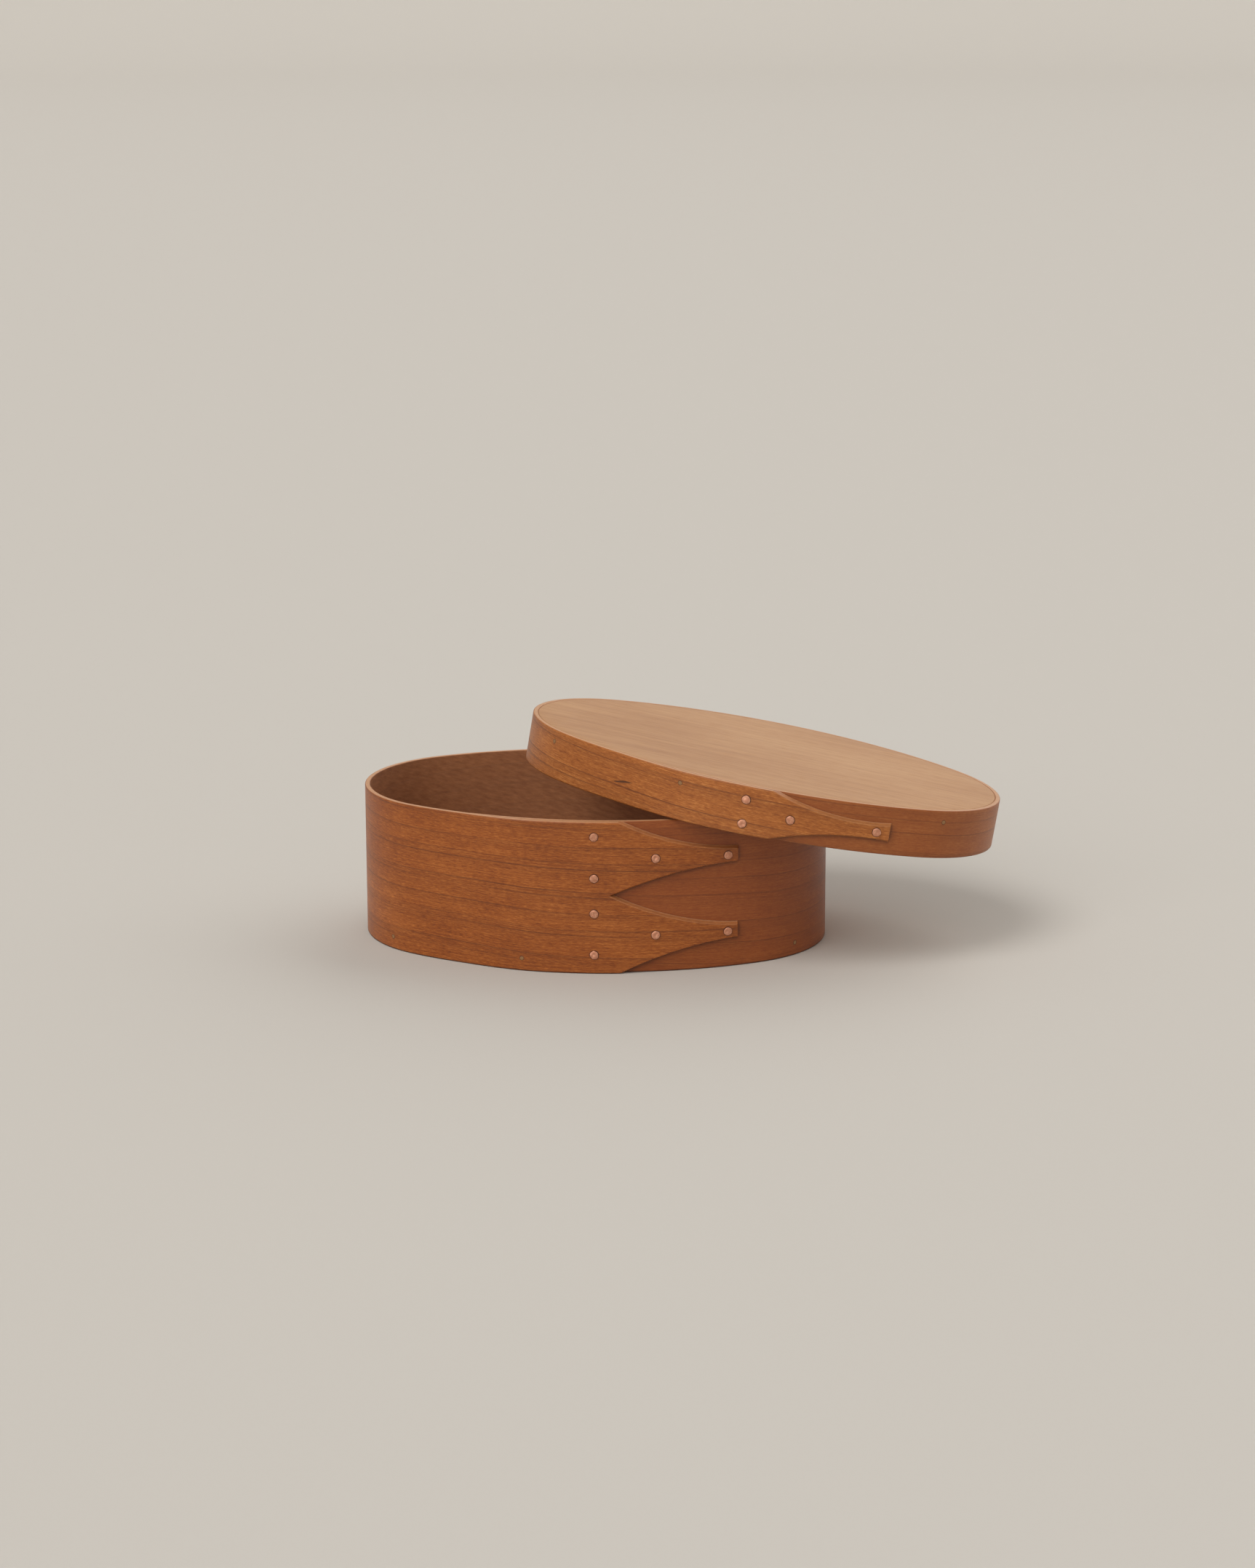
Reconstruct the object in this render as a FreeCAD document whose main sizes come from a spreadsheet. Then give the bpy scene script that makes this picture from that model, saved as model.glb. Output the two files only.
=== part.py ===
import FreeCAD, Part
import math
import os
import Sketcher
from FreeCAD import Placement, Rotation, Vector

# Oval bentwood box with its lid leaning askew on the rim, in millimetres.
# The box stands on z = 0 with the middle of its oval on the z axis and its long way
# along x. The lapped front faces -y, and its fingers point to +x.

# Driving sizes. An arc length is measured along the outside of the lap from the middle
# of the front, and grows towards the finger tips.
SIZES = [
    ("half_length", 89.0, "middle of the box to the inside of its end"),
    ("half_width", 58.5, "middle of the box to the inside of its side"),
    ("end_radius", 46.5, "inside radius of the two end arcs"),
    ("band_thick", 2.0, "thickness of the bent strips"),
    ("seam_gap", 0.1, "hairline between the two layers of a lap"),
    ("box_height", 59.5, "height of the box without its lid"),
    ("floor_thick", 9.0, "thickness of the box's bottom board"),
    ("board_gap", 0.1, "hairline between a board's edge and its band"),
    ("board_chamfer", 0.6, "small chamfer round a board's inner face"),
    ("lid_height", 18.7, "height of the lid"),
    ("lid_board_thick", 8.3, "thickness of the lid's top board"),
    ("lid_clearance", 0.5, "room between the closed lid and the box"),
    ("feather_from", 53.0, "left start of the tapered inner end of a strip"),
    ("feather_to", 15.5, "left end of the taper, where both layers are whole"),
    ("feather_tip", 0.2, "thickness left at the tip of the taper"),
    ("root_at", 15.3, "arc length where a finger's outer edge leaves the rim"),
    ("notch_at", 11.7, "arc length of the notch between the box's two fingers"),
    ("notch_lift", 1.0, "height of that notch above mid height"),
    ("tip_at", 62.0, "arc length of the finger tips"),
    ("finger_inset", 14.7, "middle of a box finger from the nearer rim"),
    ("lid_finger_drop", 0.5, "middle of the lid's finger below half the lid's height"),
    ("box_tip_width", 4.8, "width of a box finger at its tip"),
    ("lid_tip_width", 5.6, "width of the lid's finger at its tip"),
    ("finger_bow", 2.6, "how far a finger's edge bows in from a straight line"),
    ("bevel_angle", 22.0, "lean of the fingers' cut edges, in degrees"),
    ("head_dia", 3.4, "width of a copper tack's head"),
    ("head_sides", 16, "sides of the head, which the hammer leaves not quite round"),
    ("head_thick", 0.6, "thickness of the head"),
    ("head_slope_in", 0.6, "how far in the head's sloped edge reaches"),
    ("head_slope_down", 0.4, "how far down it reaches"),
    ("shank_width", 1.0, "width of a tack's square shank"),
    ("shank_gap", 0.08, "room round the shank in its hole"),
    ("seat_gap", 0.03, "air under a tack's head and under its clinched point"),
    ("clinch_length", 2.2, "length of the point bent over on the inside"),
    ("clinch_width", 1.2, "width of that flattened point beside the shank"),
    ("clinch_end", 0.4, "width of that flattened point at its end"),
    ("clinch_thick", 0.35, "thickness of that flattened point"),
    ("notch_gap", 0.15, "room round a clinched point in the edge of a board"),
    ("column_at", 5.8, "arc length of the two tacks behind each finger"),
    ("box_column_spread", 16.2, "height between those two tacks on the box"),
    ("lid_column_spread", 9.3, "height between those two tacks on the lid"),
    ("box_column_lift", 0.9, "middle of those two above the middle of a box finger"),
    ("lid_column_lift", 0.0, "middle of those two above the middle of the lid's finger"),
    ("box_middle_at", 28.9, "arc length of the tack half way out on the box"),
    ("lid_middle_at", 23.1, "arc length of the tack half way out on the lid"),
    ("box_last_at", 57.4, "arc length of the tack at a finger tip of the box"),
    ("lid_last_at", 56.4, "arc length of the tack at the finger tip of the lid"),
    ("peg_dia", 1.6, "width of a whittled peg at the outside"),
    ("peg_tip_dia", 1.1, "width of a peg at its inner end"),
    ("peg_sides", 12, "flat sides whittled on a peg"),
    ("peg_length", 11.0, "length of a peg"),
    ("peg_gap", 0.08, "room round a peg in its hole"),
    ("box_peg_height", 5.0, "pegs above the box's underside"),
    ("lid_peg_drop", 4.5, "pegs below the lid's top"),
    ("box_peg_left", 21.9, "first peg to the left of the front's middle on the box"),
    ("box_peg_second", 81.2, "second peg to the left of it on the box"),
    ("box_peg_right", 88.6, "first peg to the right of it on the box"),
    ("lid_peg_left", 20.0, "first peg to the left of the front's middle on the lid"),
    ("lid_peg_second", 81.8, "second peg to the left of it on the lid"),
    ("lid_peg_right", 83.6, "first peg to the right of it on the lid"),
    ("peg_count", 7, "pegs round the box, and as many round the lid"),
    ("lid_shift_right", 63.8, "how far the leaning lid has slid to the right"),
    ("lid_shift_back", 3.4, "how far it has slid to the back"),
    ("lid_turn", 7.5, "how far it has turned clockwise from above, in degrees"),
    ("rest_gap", 0.3, "air kept between the leaning lid and the rim"),
]

doc = FreeCAD.newDocument("oval_box")
sheet = doc.addObject("Spreadsheet::Sheet", "sizes")
for row, (alias, value, meaning) in enumerate(SIZES, start=1):
    sheet.set("A%d" % row, meaning)
    sheet.set("B%d" % row, "%g" % value)
    sheet.setAlias("B%d" % row, alias)
doc.recompute()


def size(alias):
    """Value of one cell of the sheet."""
    return float(sheet.get(alias))


BAND = size("band_thick")
SEAM = size("seam_gap")
LAP = 2 * BAND + SEAM
LEAN = math.tan(math.radians(size("bevel_angle")))
UP = Vector(0, 0, 1)


class Oval:
    """Four tangent arcs: two ends of end_radius and two flatter sides.

    Every curve of the box is this oval moved outwards by an offset, which keeps the
    same four centres. A direction round it is an angle from the front, -y, towards +x.
    """

    def __init__(self, half_length, half_width, end_radius):
        self.end_radius = end_radius
        self.end_x = half_length - end_radius
        self.side_y = (self.end_x ** 2 - (half_width - end_radius) ** 2) / (
            2 * (half_width - end_radius))
        self.side_radius = self.side_y + half_width
        self.turn = math.atan2(self.end_x, self.side_y)
        half = math.pi
        self.arcs = [
            (Vector(0, self.side_y), self.side_radius, 0.0, self.turn),
            (Vector(self.end_x, 0), end_radius, self.turn, half - self.turn),
            (Vector(0, -self.side_y), self.side_radius, half - self.turn, half + self.turn),
            (Vector(-self.end_x, 0), end_radius, half + self.turn, 2 * half - self.turn),
            (Vector(0, self.side_y), self.side_radius, 2 * half - self.turn, 2 * half),
        ]

    def girth(self, offset):
        """Length once round at an offset."""
        return sum((radius + offset) * (end - start) for _, radius, start, end in self.arcs)

    def station(self, along, offset):
        """Point at an arc length from the middle of the front, and the way it faces."""
        left = along % self.girth(offset)
        for centre, radius, start, end in self.arcs:
            length = (radius + offset) * (end - start)
            if left <= length:
                break
            left -= length
        angle = start + left / (radius + offset)
        return turned(centre, radius + offset, angle), facing(angle)

    def run(self, start, end, offset):
        """Arc edges from one direction to another, in order."""
        edges = []
        for centre, radius, low, high in self.arcs:
            first = max(start, low)
            last = min(end, high)
            if last - first > 1e-9:
                edges.append(arc(centre, radius + offset, first, last))
        return edges

    def front_angle(self, along, offset):
        """Direction of an arc length on the front's flat arc, negative to the left."""
        return along / (self.side_radius + offset)

    def front_point(self, angle, offset):
        """Point on the front's flat arc in one direction."""
        return turned(Vector(0, self.side_y), self.side_radius + offset, angle)


def facing(angle):
    """Level direction at an angle from -y towards +x."""
    return Vector(math.sin(angle), -math.cos(angle), 0)


def turned(centre, radius, angle):
    """Point at a distance and direction from a centre."""
    return centre + facing(angle) * radius


def arc(centre, radius, start, end):
    """Arc edge between two directions."""
    points = [turned(centre, radius, angle) for angle in (start, (start + end) / 2, end)]
    return Part.Arc(*points).toShape()


def smooth(share):
    """Rise from 0 to 1 that starts and ends level: 3 share^2 - 2 share^3."""
    return share * share * (3 - 2 * share)


def climb_curve(oval, base, rise, first_share):
    """Curve over the feathered end: offset = base + rise * smooth(share of the way)."""
    start = oval.front_angle(-size("feather_from"), BAND)
    end = oval.front_angle(-size("feather_to"), BAND)
    steps = 8
    points = []
    for step in range(steps + 1):
        share = first_share + (1 - first_share) * step / steps
        angle = start + (end - start) * share
        points.append(oval.front_point(angle, base + rise * smooth(share)))
    curve = Part.BSplineCurve()
    curve.interpolate(points)
    return curve.toShape()


def plan_wire(inside, outside):
    """Closed wire of two paths that run the same way, with straight lines at the ends."""
    starts = [path[0].valueAt(path[0].FirstParameter) for path in (inside, outside)]
    ends = [path[-1].valueAt(path[-1].LastParameter) for path in (inside, outside)]
    closing = [Part.makeLine(*starts), Part.makeLine(*ends)]
    return Part.Wire(Part.__sortEdges__(inside + outside + closing))


def strip_plan(oval):
    """Plan of a bent strip that goes once round and laps over its own inner end.

    The inner end tapers to a feather. The outer layer climbs over it and runs on to
    the finger tips, one hairline clear of the layer below.
    """
    climb = BAND + SEAM
    feather_share = 0.0
    while climb * smooth(feather_share) < SEAM + size("feather_tip"):
        feather_share += 0.001
    start = oval.front_angle(-size("feather_from"), BAND)
    end = oval.front_angle(-size("feather_to"), BAND)
    feather = start + (end - start) * feather_share
    tip = oval.front_angle(size("tip_at"), LAP)
    tip_inside = tip + BAND * LEAN / (oval.side_radius + climb)
    front = Vector(0, oval.side_y)
    round_to = 2 * math.pi + start
    inside = [arc(front, oval.side_radius, feather, 0.0)]
    inside += oval.run(0.0, round_to, 0.0)
    inside.append(climb_curve(oval, 0.0, climb, 0.0))
    inside.append(arc(front, oval.side_radius + climb, end, tip_inside))
    outside = [climb_curve(oval, -SEAM, climb, feather_share)]
    outside.append(arc(front, oval.side_radius + BAND, end, 0.0))
    outside += oval.run(0.0, round_to, BAND)
    outside.append(climb_curve(oval, BAND, climb, 0.0))
    outside.append(arc(front, oval.side_radius + LAP, end, tip))
    return Part.Face(plan_wire(inside, outside))


def finger_cutter(oval, root, tip, far):
    """Trims the outer layer beyond one edge of a finger, from the edge to a height.

    Root and tip are (arc length, height). The edge is part of a circle through both
    that bows in by finger_bow from the straight line. The cutter is a loft through
    upright sections that turn about the side's centre, so the bevel leans the same
    way all along the bent wall.
    """
    bow = size("finger_bow")
    run = tip[0] - root[0]
    rise = tip[1] - root[1]
    chord = math.hypot(run, rise)
    radius = (chord ** 2 / 4 + bow ** 2) / (2 * bow)
    side = 1 if far > root[1] else -1
    middle_at = (root[0] + tip[0]) / 2 - side * rise / chord * (radius - bow)
    middle_z = (root[1] + tip[1]) / 2 + side * run / chord * (radius - bow)
    overrun = 3 * BAND
    steps = 10
    sections = []
    for step in range(steps + 1):
        along = root[0] - overrun + (run + 2 * overrun) * step / steps
        edge = middle_z - side * math.sqrt(radius ** 2 - (along - middle_at) ** 2)
        angle = oval.front_angle(along, LAP)
        inner = oval.front_point(angle, BAND + SEAM / 2)
        outer = oval.front_point(angle, LAP + BAND)
        corners = [
            inner + UP * (edge + side * (BAND + SEAM / 2) * LEAN),
            outer + UP * (edge - side * BAND * LEAN),
            outer + UP * far,
            inner + UP * far,
        ]
        sections.append(Part.makePolygon(corners + corners[:1]))
    return Part.makeLoft(sections, True, False)


def aim(direction):
    """Turns z to a level direction, and x to point up."""
    return Rotation(UP, direction.cross(UP), direction, "ZXY")


def drive(point, outward, corners, depth):
    """Cutter that starts outside the wall and goes straight in.

    It has the section of what is driven there, drawn with x up.
    """
    cutter = Part.Face(Part.makePolygon(corners + corners[:1])).extrude(UP * (depth + BAND))
    cutter.Placement = Placement(point + outward * BAND, aim(outward * -1))
    return cutter


def add_band(label, oval, tall, cutters, tacks, pegs):
    """One bent strip with its fingers trimmed and its tack and peg holes drilled."""
    shape = strip_plan(oval).extrude(UP * tall)
    for cutter in cutters:
        shape = shape.cut(cutter)
    half = size("shank_width") / 2 + size("shank_gap")
    shank = [Vector(half, half), Vector(-half, half), Vector(-half, -half), Vector(half, -half)]
    radius = size("peg_dia") / 2 + size("peg_gap")
    step = 2 * math.pi / size("peg_sides")
    peg = [Vector(math.cos(step * side), math.sin(step * side)) * radius
           for side in range(int(size("peg_sides")))]
    for point, outward in tacks:
        shape = shape.cut(drive(point, outward, shank, LAP + BAND))
    for point, outward in pegs:
        shape = shape.cut(drive(point, outward, peg, size("peg_length")))
    feature = doc.addObject("Part::Feature", label)
    feature.Label = label
    feature.Shape = shape
    return feature


def plane_of(body, role):
    """One of a body's own origin planes."""
    return [item for item in body.Origin.OriginFeatures if item.Role == role][0]


def add_sketch(body, name, role):
    """Empty sketch on one of the body's origin planes."""
    sketch = body.newObject("Sketcher::SketchObject", name)
    sketch.AttachmentSupport = (plane_of(body, role), [""])
    sketch.MapMode = "FlatFace"
    return sketch


def hang(feature, body, place):
    """Put a feature at a place in its body's own frame, as the body's last step."""
    feature.AttachmentSupport = (plane_of(body, "XY_Plane"), [""])
    feature.MapMode = "FlatFace"
    feature.AttachmentOffset = place
    body.Tip = feature


def pin(sketch, formula, *terms):
    """Add one constraint, and bind it to a formula of cells if there is one."""
    index = sketch.addConstraint(Sketcher.Constraint(*terms))
    if formula:
        sketch.setExpression("Constraints[%d]" % index, formula)


# Sketcher's numbers for the ends and centre of a curve, for the axes and for the origin.
FIRST, LAST, CENTRE = range(1, 4)
X_AXIS, Y_AXIS = range(-1, -3, -1)
ORIGIN = (X_AXIS, FIRST)


def add_board(label, oval, cells, thick_cell, inner_up, tacks, pegs):
    """Flat oval board: four tangent arcs padded, with one face chamfered.

    Its edge has a notch for each clinched point that would press into it, and a hole
    for each peg.
    """
    body = doc.addObject("PartDesign::Body", label)
    body.Label = label
    sketch = add_sketch(body, label + "_outline", "XY_Plane")
    for index in (1, 2, 3, 4):
        centre, radius, start, end = oval.arcs[index]
        if index == 4:
            end += oval.turn
        circle = Part.Circle(centre, UP, radius - size("board_gap"))
        quarter = math.pi / 2
        sketch.addGeometry(Part.ArcOfCircle(circle, start - quarter, end - quarter), False)
    right, back, left, front = range(4)
    half_length, half_width, end_radius = cells
    end_x = "(%s - (%s))" % (half_length, end_radius)
    rise = "(%s - (%s))" % (half_width, end_radius)
    side_y = "((%s^2 - %s^2) / (2 * %s))" % (end_x, rise, rise)
    radius_cells = "%s - sizes.board_gap" % end_radius
    pin(sketch, None, "PointOnObject", right, CENTRE, X_AXIS)
    pin(sketch, None, "PointOnObject", left, CENTRE, X_AXIS)
    pin(sketch, None, "PointOnObject", back, CENTRE, Y_AXIS)
    pin(sketch, None, "PointOnObject", front, CENTRE, Y_AXIS)
    pin(sketch, None, "Tangent", right, LAST, back, FIRST)
    pin(sketch, None, "Tangent", front, LAST, right, FIRST)
    pin(sketch, None, "Horizontal", back, FIRST, back, LAST)
    pin(sketch, None, "Horizontal", front, FIRST, front, LAST)
    pin(sketch, None, "Horizontal", left, FIRST, right, LAST)
    pin(sketch, None, "Horizontal", left, LAST, right, FIRST)
    pin(sketch, None, "Equal", right, left)
    pin(sketch, end_x, "DistanceX", *ORIGIN, right, CENTRE, oval.end_x)
    pin(sketch, end_x, "DistanceX", left, CENTRE, *ORIGIN, oval.end_x)
    pin(sketch, side_y, "DistanceY", *ORIGIN, front, CENTRE, oval.side_y)
    pin(sketch, side_y, "DistanceY", back, CENTRE, *ORIGIN, oval.side_y)
    pin(sketch, radius_cells, "Radius", right, oval.end_radius - size("board_gap"))
    pad = body.newObject("PartDesign::Pad", label + "_pad")
    pad.Profile = sketch
    pad.setExpression("Length", "sizes." + thick_cell)
    doc.recompute()
    inner_face = size(thick_cell) if inner_up else 0.0
    rim = [
        "Edge%d" % number
        for number, edge in enumerate(pad.Shape.Edges, start=1)
        if all(abs(vertex.Z - inner_face) < 1e-6 for vertex in edge.Vertexes)
    ]
    chamfer = body.newObject("PartDesign::Chamfer", label + "_chamfer")
    chamfer.Base = (pad, rim)
    chamfer.setExpression("Size", "sizes.board_chamfer")
    notch_width = "max(sizes.shank_width; sizes.clinch_width) + 2 * sizes.notch_gap"
    notch_depth = "sizes.seat_gap + sizes.clinch_thick + sizes.notch_gap"
    start = size("shank_width") / 2 + size("notch_gap")
    end = size("clinch_length") + size("notch_gap") - size("shank_width") / 2
    half_notch = max(size("shank_width"), size("clinch_width")) / 2 + size("notch_gap")
    for number, (point, outward) in enumerate(tacks, start=1):
        if point.z + end < 0 or point.z - start > size(thick_cell):
            continue
        notch = body.newObject("PartDesign::SubtractiveBox", "%s_notch_%d" % (label, number))
        notch.setExpression("Length", "sizes.clinch_length + 2 * sizes.notch_gap")
        notch.setExpression("Width", notch_width)
        notch.setExpression("Height", notch_depth)
        corner = Vector(-start, -half_notch)
        hang(notch, body, Placement(point - outward * LAP, aim(outward * -1)) *
             Placement(corner, Rotation()))
    for number, (point, outward) in enumerate(pegs, start=1):
        hole = body.newObject("PartDesign::SubtractivePrism", "%s_hole_%d" % (label, number))
        hole.setExpression("Polygon", "sizes.peg_sides")
        hole.setExpression("Circumradius", "sizes.peg_dia / 2 + sizes.peg_gap")
        hole.setExpression("Height", "sizes.peg_length + sizes.peg_gap")
        hang(hole, body, Placement(point, aim(outward * -1)))
    return body


def add_tack(label, point, outward):
    """Copper tack: sloped head, square shank and a point clinched flat inside.

    Its own z axis points out of the wall, and z = 0 is the underside of the head.
    """
    body = doc.addObject("PartDesign::Body", label)
    body.Label = label
    deep = ("(2 * sizes.band_thick + sizes.seam_gap + 2 * sizes.seat_gap"
            " + sizes.clinch_thick)")
    head = body.newObject("PartDesign::AdditivePrism", label + "_head")
    head.setExpression("Polygon", "sizes.head_sides")
    head.setExpression("Circumradius", "sizes.head_dia / 2")
    head.setExpression("Height", "sizes.head_thick")
    hang(head, body, Placement())
    doc.recompute()
    slope = body.newObject("PartDesign::Chamfer", label + "_slope")
    top = [
        "Edge%d" % number
        for number, edge in enumerate(head.Shape.Edges, start=1)
        if all(abs(vertex.Z - size("head_thick")) < 1e-6 for vertex in edge.Vertexes)
    ]
    slope.Base = (head, top)
    slope.ChamferType = "Two distances"
    slope.FlipDirection = True
    slope.setExpression("Size", "sizes.head_slope_in")
    slope.setExpression("Size2", "sizes.head_slope_down")
    shank = body.newObject("PartDesign::AdditiveBox", label + "_shank")
    shank.setExpression("Length", "sizes.shank_width")
    shank.setExpression("Width", "sizes.shank_width")
    shank.setExpression("Height", deep)
    hang(shank, body, Placement())
    shank.setExpression(".AttachmentOffset.Base.x", "-sizes.shank_width / 2")
    shank.setExpression(".AttachmentOffset.Base.y", "-sizes.shank_width / 2")
    shank.setExpression(".AttachmentOffset.Base.z", "-" + deep)
    clinch = body.newObject("PartDesign::AdditiveWedge", label + "_clinch")
    clinch.setExpression("Xmin", "-sizes.clinch_width / 2")
    clinch.setExpression("Xmax", "sizes.clinch_width / 2")
    clinch.setExpression("X2min", "-sizes.clinch_end / 2")
    clinch.setExpression("X2max", "sizes.clinch_end / 2")
    clinch.setExpression("Ymin", "-sizes.shank_width / 2")
    clinch.setExpression("Ymax", "sizes.clinch_length - sizes.shank_width / 2")
    clinch.setExpression("Zmin", "-" + deep)
    clinch.setExpression("Z2min", "-" + deep)
    clinch.setExpression("Zmax", "sizes.clinch_thick - " + deep)
    clinch.setExpression("Z2max", "sizes.clinch_thick - " + deep)
    hang(clinch, body, Placement(Vector(), Rotation(UP, -90)))
    return body, Placement(point + outward * size("seat_gap"), aim(outward))


def add_peg(label, point, outward):
    """Tapered whittled peg whose thick end is flush with the outside of the band."""
    ends = []
    for end, cell in (("outer", "peg_dia"), ("inner", "peg_tip_dia")):
        outline = doc.addObject("Part::RegularPolygon", "%s_%s" % (label, end))
        outline.setExpression("Polygon", "sizes.peg_sides")
        outline.setExpression("Circumradius", "sizes.%s / 2" % cell)
        ends.append(outline)
    ends[1].setExpression(".Placement.Base.z", "sizes.peg_length")
    peg = doc.addObject("Part::Loft", label)
    peg.Label = label
    peg.Sections = ends
    peg.Solid = True
    peg.Ruled = True
    return peg, Placement(point, aim(outward * -1))


def peg_places(owner, oval, height):
    """Evenly from the right of the fingers round the back, and one close to their left.

    That last one stands on the lap's climb, so it starts further out.
    """
    girth = oval.girth(BAND)
    first = size(owner + "_peg_right")
    steps = int(size("peg_count")) - 2
    step = (girth - size(owner + "_peg_second") - first) / steps
    runs = [first + step * number for number in range(steps + 1)]
    runs.append(girth - size(owner + "_peg_left"))
    places = []
    for along in runs:
        point, outward = oval.station(along, BAND)
        share = (along - girth + size("feather_from")) / (
            size("feather_from") - size("feather_to"))
        climbed = (BAND + SEAM) * smooth(min(max(share, 0.0), 1.0))
        places.append((point + outward * climbed + UP * height, outward))
    return places


def tack_places(owner, oval, axes):
    """For each finger two tacks in a column, one half way out and one at the tip.

    They drift from the lifted middle of the column back to the middle of the finger.
    """
    column = size("column_at")
    half = size(owner + "_column_spread") / 2
    lift = size(owner + "_column_lift")
    places = []
    for axis in axes:
        for along, height in ((column, axis + lift + half), (column, axis + lift - half),
                              (size(owner + "_middle_at"), axis + lift / 2),
                              (size(owner + "_last_at"), axis)):
            angle = oval.front_angle(along, LAP)
            places.append((oval.front_point(angle, LAP) + UP * height, facing(angle)))
    return places


def lowered(places, lift):
    """The same places in the frame of a board that is lifted by so much."""
    return [(point - lift, outward) for point, outward in places]


def circles_meet(centre, radius, other, other_radius, side):
    """Point where two circles cross, on the side of -y or +y."""
    across = other - centre
    apart = across.Length
    reach = (apart ** 2 + radius ** 2 - other_radius ** 2) / (2 * apart)
    half = math.sqrt(radius ** 2 - reach ** 2)
    base = centre + across * (reach / apart)
    step = Vector(-across.y, across.x) * (half / apart)
    points = (base + step, base - step)
    return min(points, key=lambda spot: -side * spot.y)


def leaning_place(box, lid, box_height, lid_height, board_thick):
    """Where the askew lid comes to rest on the box.

    Its lower edge crosses the rim once at the front and once at the back, and the
    underside of its board lies on the rim at the right-hand end. The line between the
    two crossings is the axis of its lean, and the depth of the lid's hollow over the
    distance from that line to the end of the box is the sine of the lean.
    """
    shift = Vector(size("lid_shift_right"), size("lid_shift_back"), 0)
    turn = Rotation(UP, -size("lid_turn"))
    crossings = []
    for side in (-1, 1):
        box_centre = Vector(0, -side * box.side_y, 0)
        lid_centre = shift + turn.multVec(Vector(0, -side * lid.side_y, 0))
        crossings.append(circles_meet(box_centre, box.side_radius + BAND,
                                      lid_centre, lid.side_radius, side))
    axis = (crossings[1] - crossings[0]).normalize()
    downhill = Vector(axis.y, -axis.x, 0)
    end_reach = (Vector(box.end_x, 0, 0) - crossings[0]).dot(downhill)
    end_reach += box.end_radius + BAND
    lean = math.asin((lid_height - board_thick) / end_reach)
    drop = math.tan(lean) * (shift - crossings[0]).dot(downhill)
    height = box_height + size("rest_gap") - drop
    return Placement(shift + UP * height, Rotation(axis, math.degrees(lean)) * turn)


half_length = size("half_length")
half_width = size("half_width")
end_radius = size("end_radius")
box_height = size("box_height")
lid_height = size("lid_height")
lid_board_thick = size("lid_board_thick")
grown = BAND + size("lid_clearance")
box_oval = Oval(half_length, half_width, end_radius)
lid_oval = Oval(half_length + grown, half_width + grown + BAND / 2, end_radius + grown)
lid_place = leaning_place(box_oval, lid_oval, box_height, lid_height, lid_board_thick)

# Fingers. Root heights lie on the rims or at the notch, tips round each finger's axis.
root_at = size("root_at")
notch = (size("notch_at"), box_height / 2 + size("notch_lift"))
tip_at = size("tip_at")
box_tip = size("box_tip_width") / 2
lid_tip = size("lid_tip_width") / 2
upper_axis = box_height - size("finger_inset")
lower_axis = size("finger_inset")
clear = lower_axis
above = box_height + clear
below = -clear
between = finger_cutter(box_oval, notch, (tip_at, upper_axis - box_tip), below).common(
    finger_cutter(box_oval, notch, (tip_at, lower_axis + box_tip), above))
box_cutters = [
    finger_cutter(box_oval, (root_at, box_height), (tip_at, upper_axis + box_tip), above),
    between,
    finger_cutter(box_oval, (root_at, 0.0), (tip_at, lower_axis - box_tip), below),
]
lid_axis = lid_height / 2 - size("lid_finger_drop")
lid_cutters = [
    finger_cutter(lid_oval, (root_at, lid_height), (tip_at, lid_axis + lid_tip),
                  lid_height + clear),
    finger_cutter(lid_oval, (root_at, 0.0), (tip_at, lid_axis - lid_tip), below),
]

# Places of the small fasteners, in the frame of the box and in that of the level lid.
box_tacks = tack_places("box", box_oval, (upper_axis, lower_axis))
lid_tacks = tack_places("lid", lid_oval, (lid_axis,))
box_pegs = peg_places("box", box_oval, size("box_peg_height"))
lid_pegs = peg_places("lid", lid_oval, lid_height - size("lid_peg_drop"))
board_lift = UP * (lid_height - lid_board_thick)

box_cells = ("sizes.half_length", "sizes.half_width", "sizes.end_radius")
lid_grown = "(sizes.band_thick + sizes.lid_clearance)"
lid_cells = (
    "(sizes.half_length + %s)" % lid_grown,
    "(sizes.half_width + %s + sizes.band_thick / 2)" % lid_grown,
    "(sizes.end_radius + %s)" % lid_grown,
)

pieces = [
    (add_band("box_band", box_oval, box_height, box_cutters, box_tacks, box_pegs),
     Placement()),
    (add_board("box_board", box_oval, box_cells, "floor_thick", True, box_tacks, box_pegs),
     Placement()),
    (add_band("lid_band", lid_oval, lid_height, lid_cutters, lid_tacks, lid_pegs),
     lid_place),
    (add_board("lid_board", lid_oval, lid_cells, "lid_board_thick", False,
               lowered(lid_tacks, board_lift), lowered(lid_pegs, board_lift)),
     lid_place * Placement(board_lift, Rotation())),
]
for owner, place, tacks, pegs in (("box", Placement(), box_tacks, box_pegs),
                                  ("lid", lid_place, lid_tacks, lid_pegs)):
    for maker, kind, spots in ((add_tack, "tack", tacks), (add_peg, "peg", pegs)):
        for number, (point, outward) in enumerate(spots, start=1):
            piece, local = maker("%s_%s_%d" % (owner, kind, number), point, outward)
            pieces.append((piece, place * local))
for piece, place in pieces:
    piece.Placement = place
doc.recompute()

for item in doc.Objects:
    if "Invalid" in item.State or "Error" in item.State:
        raise RuntimeError("%s could not be computed" % item.Name)
for piece, _ in pieces:
    if piece.Shape.isNull() or not piece.Shape.isValid() or len(piece.Shape.Solids) != 1:
        raise RuntimeError("%s is not one sound solid" % piece.Label)

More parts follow.
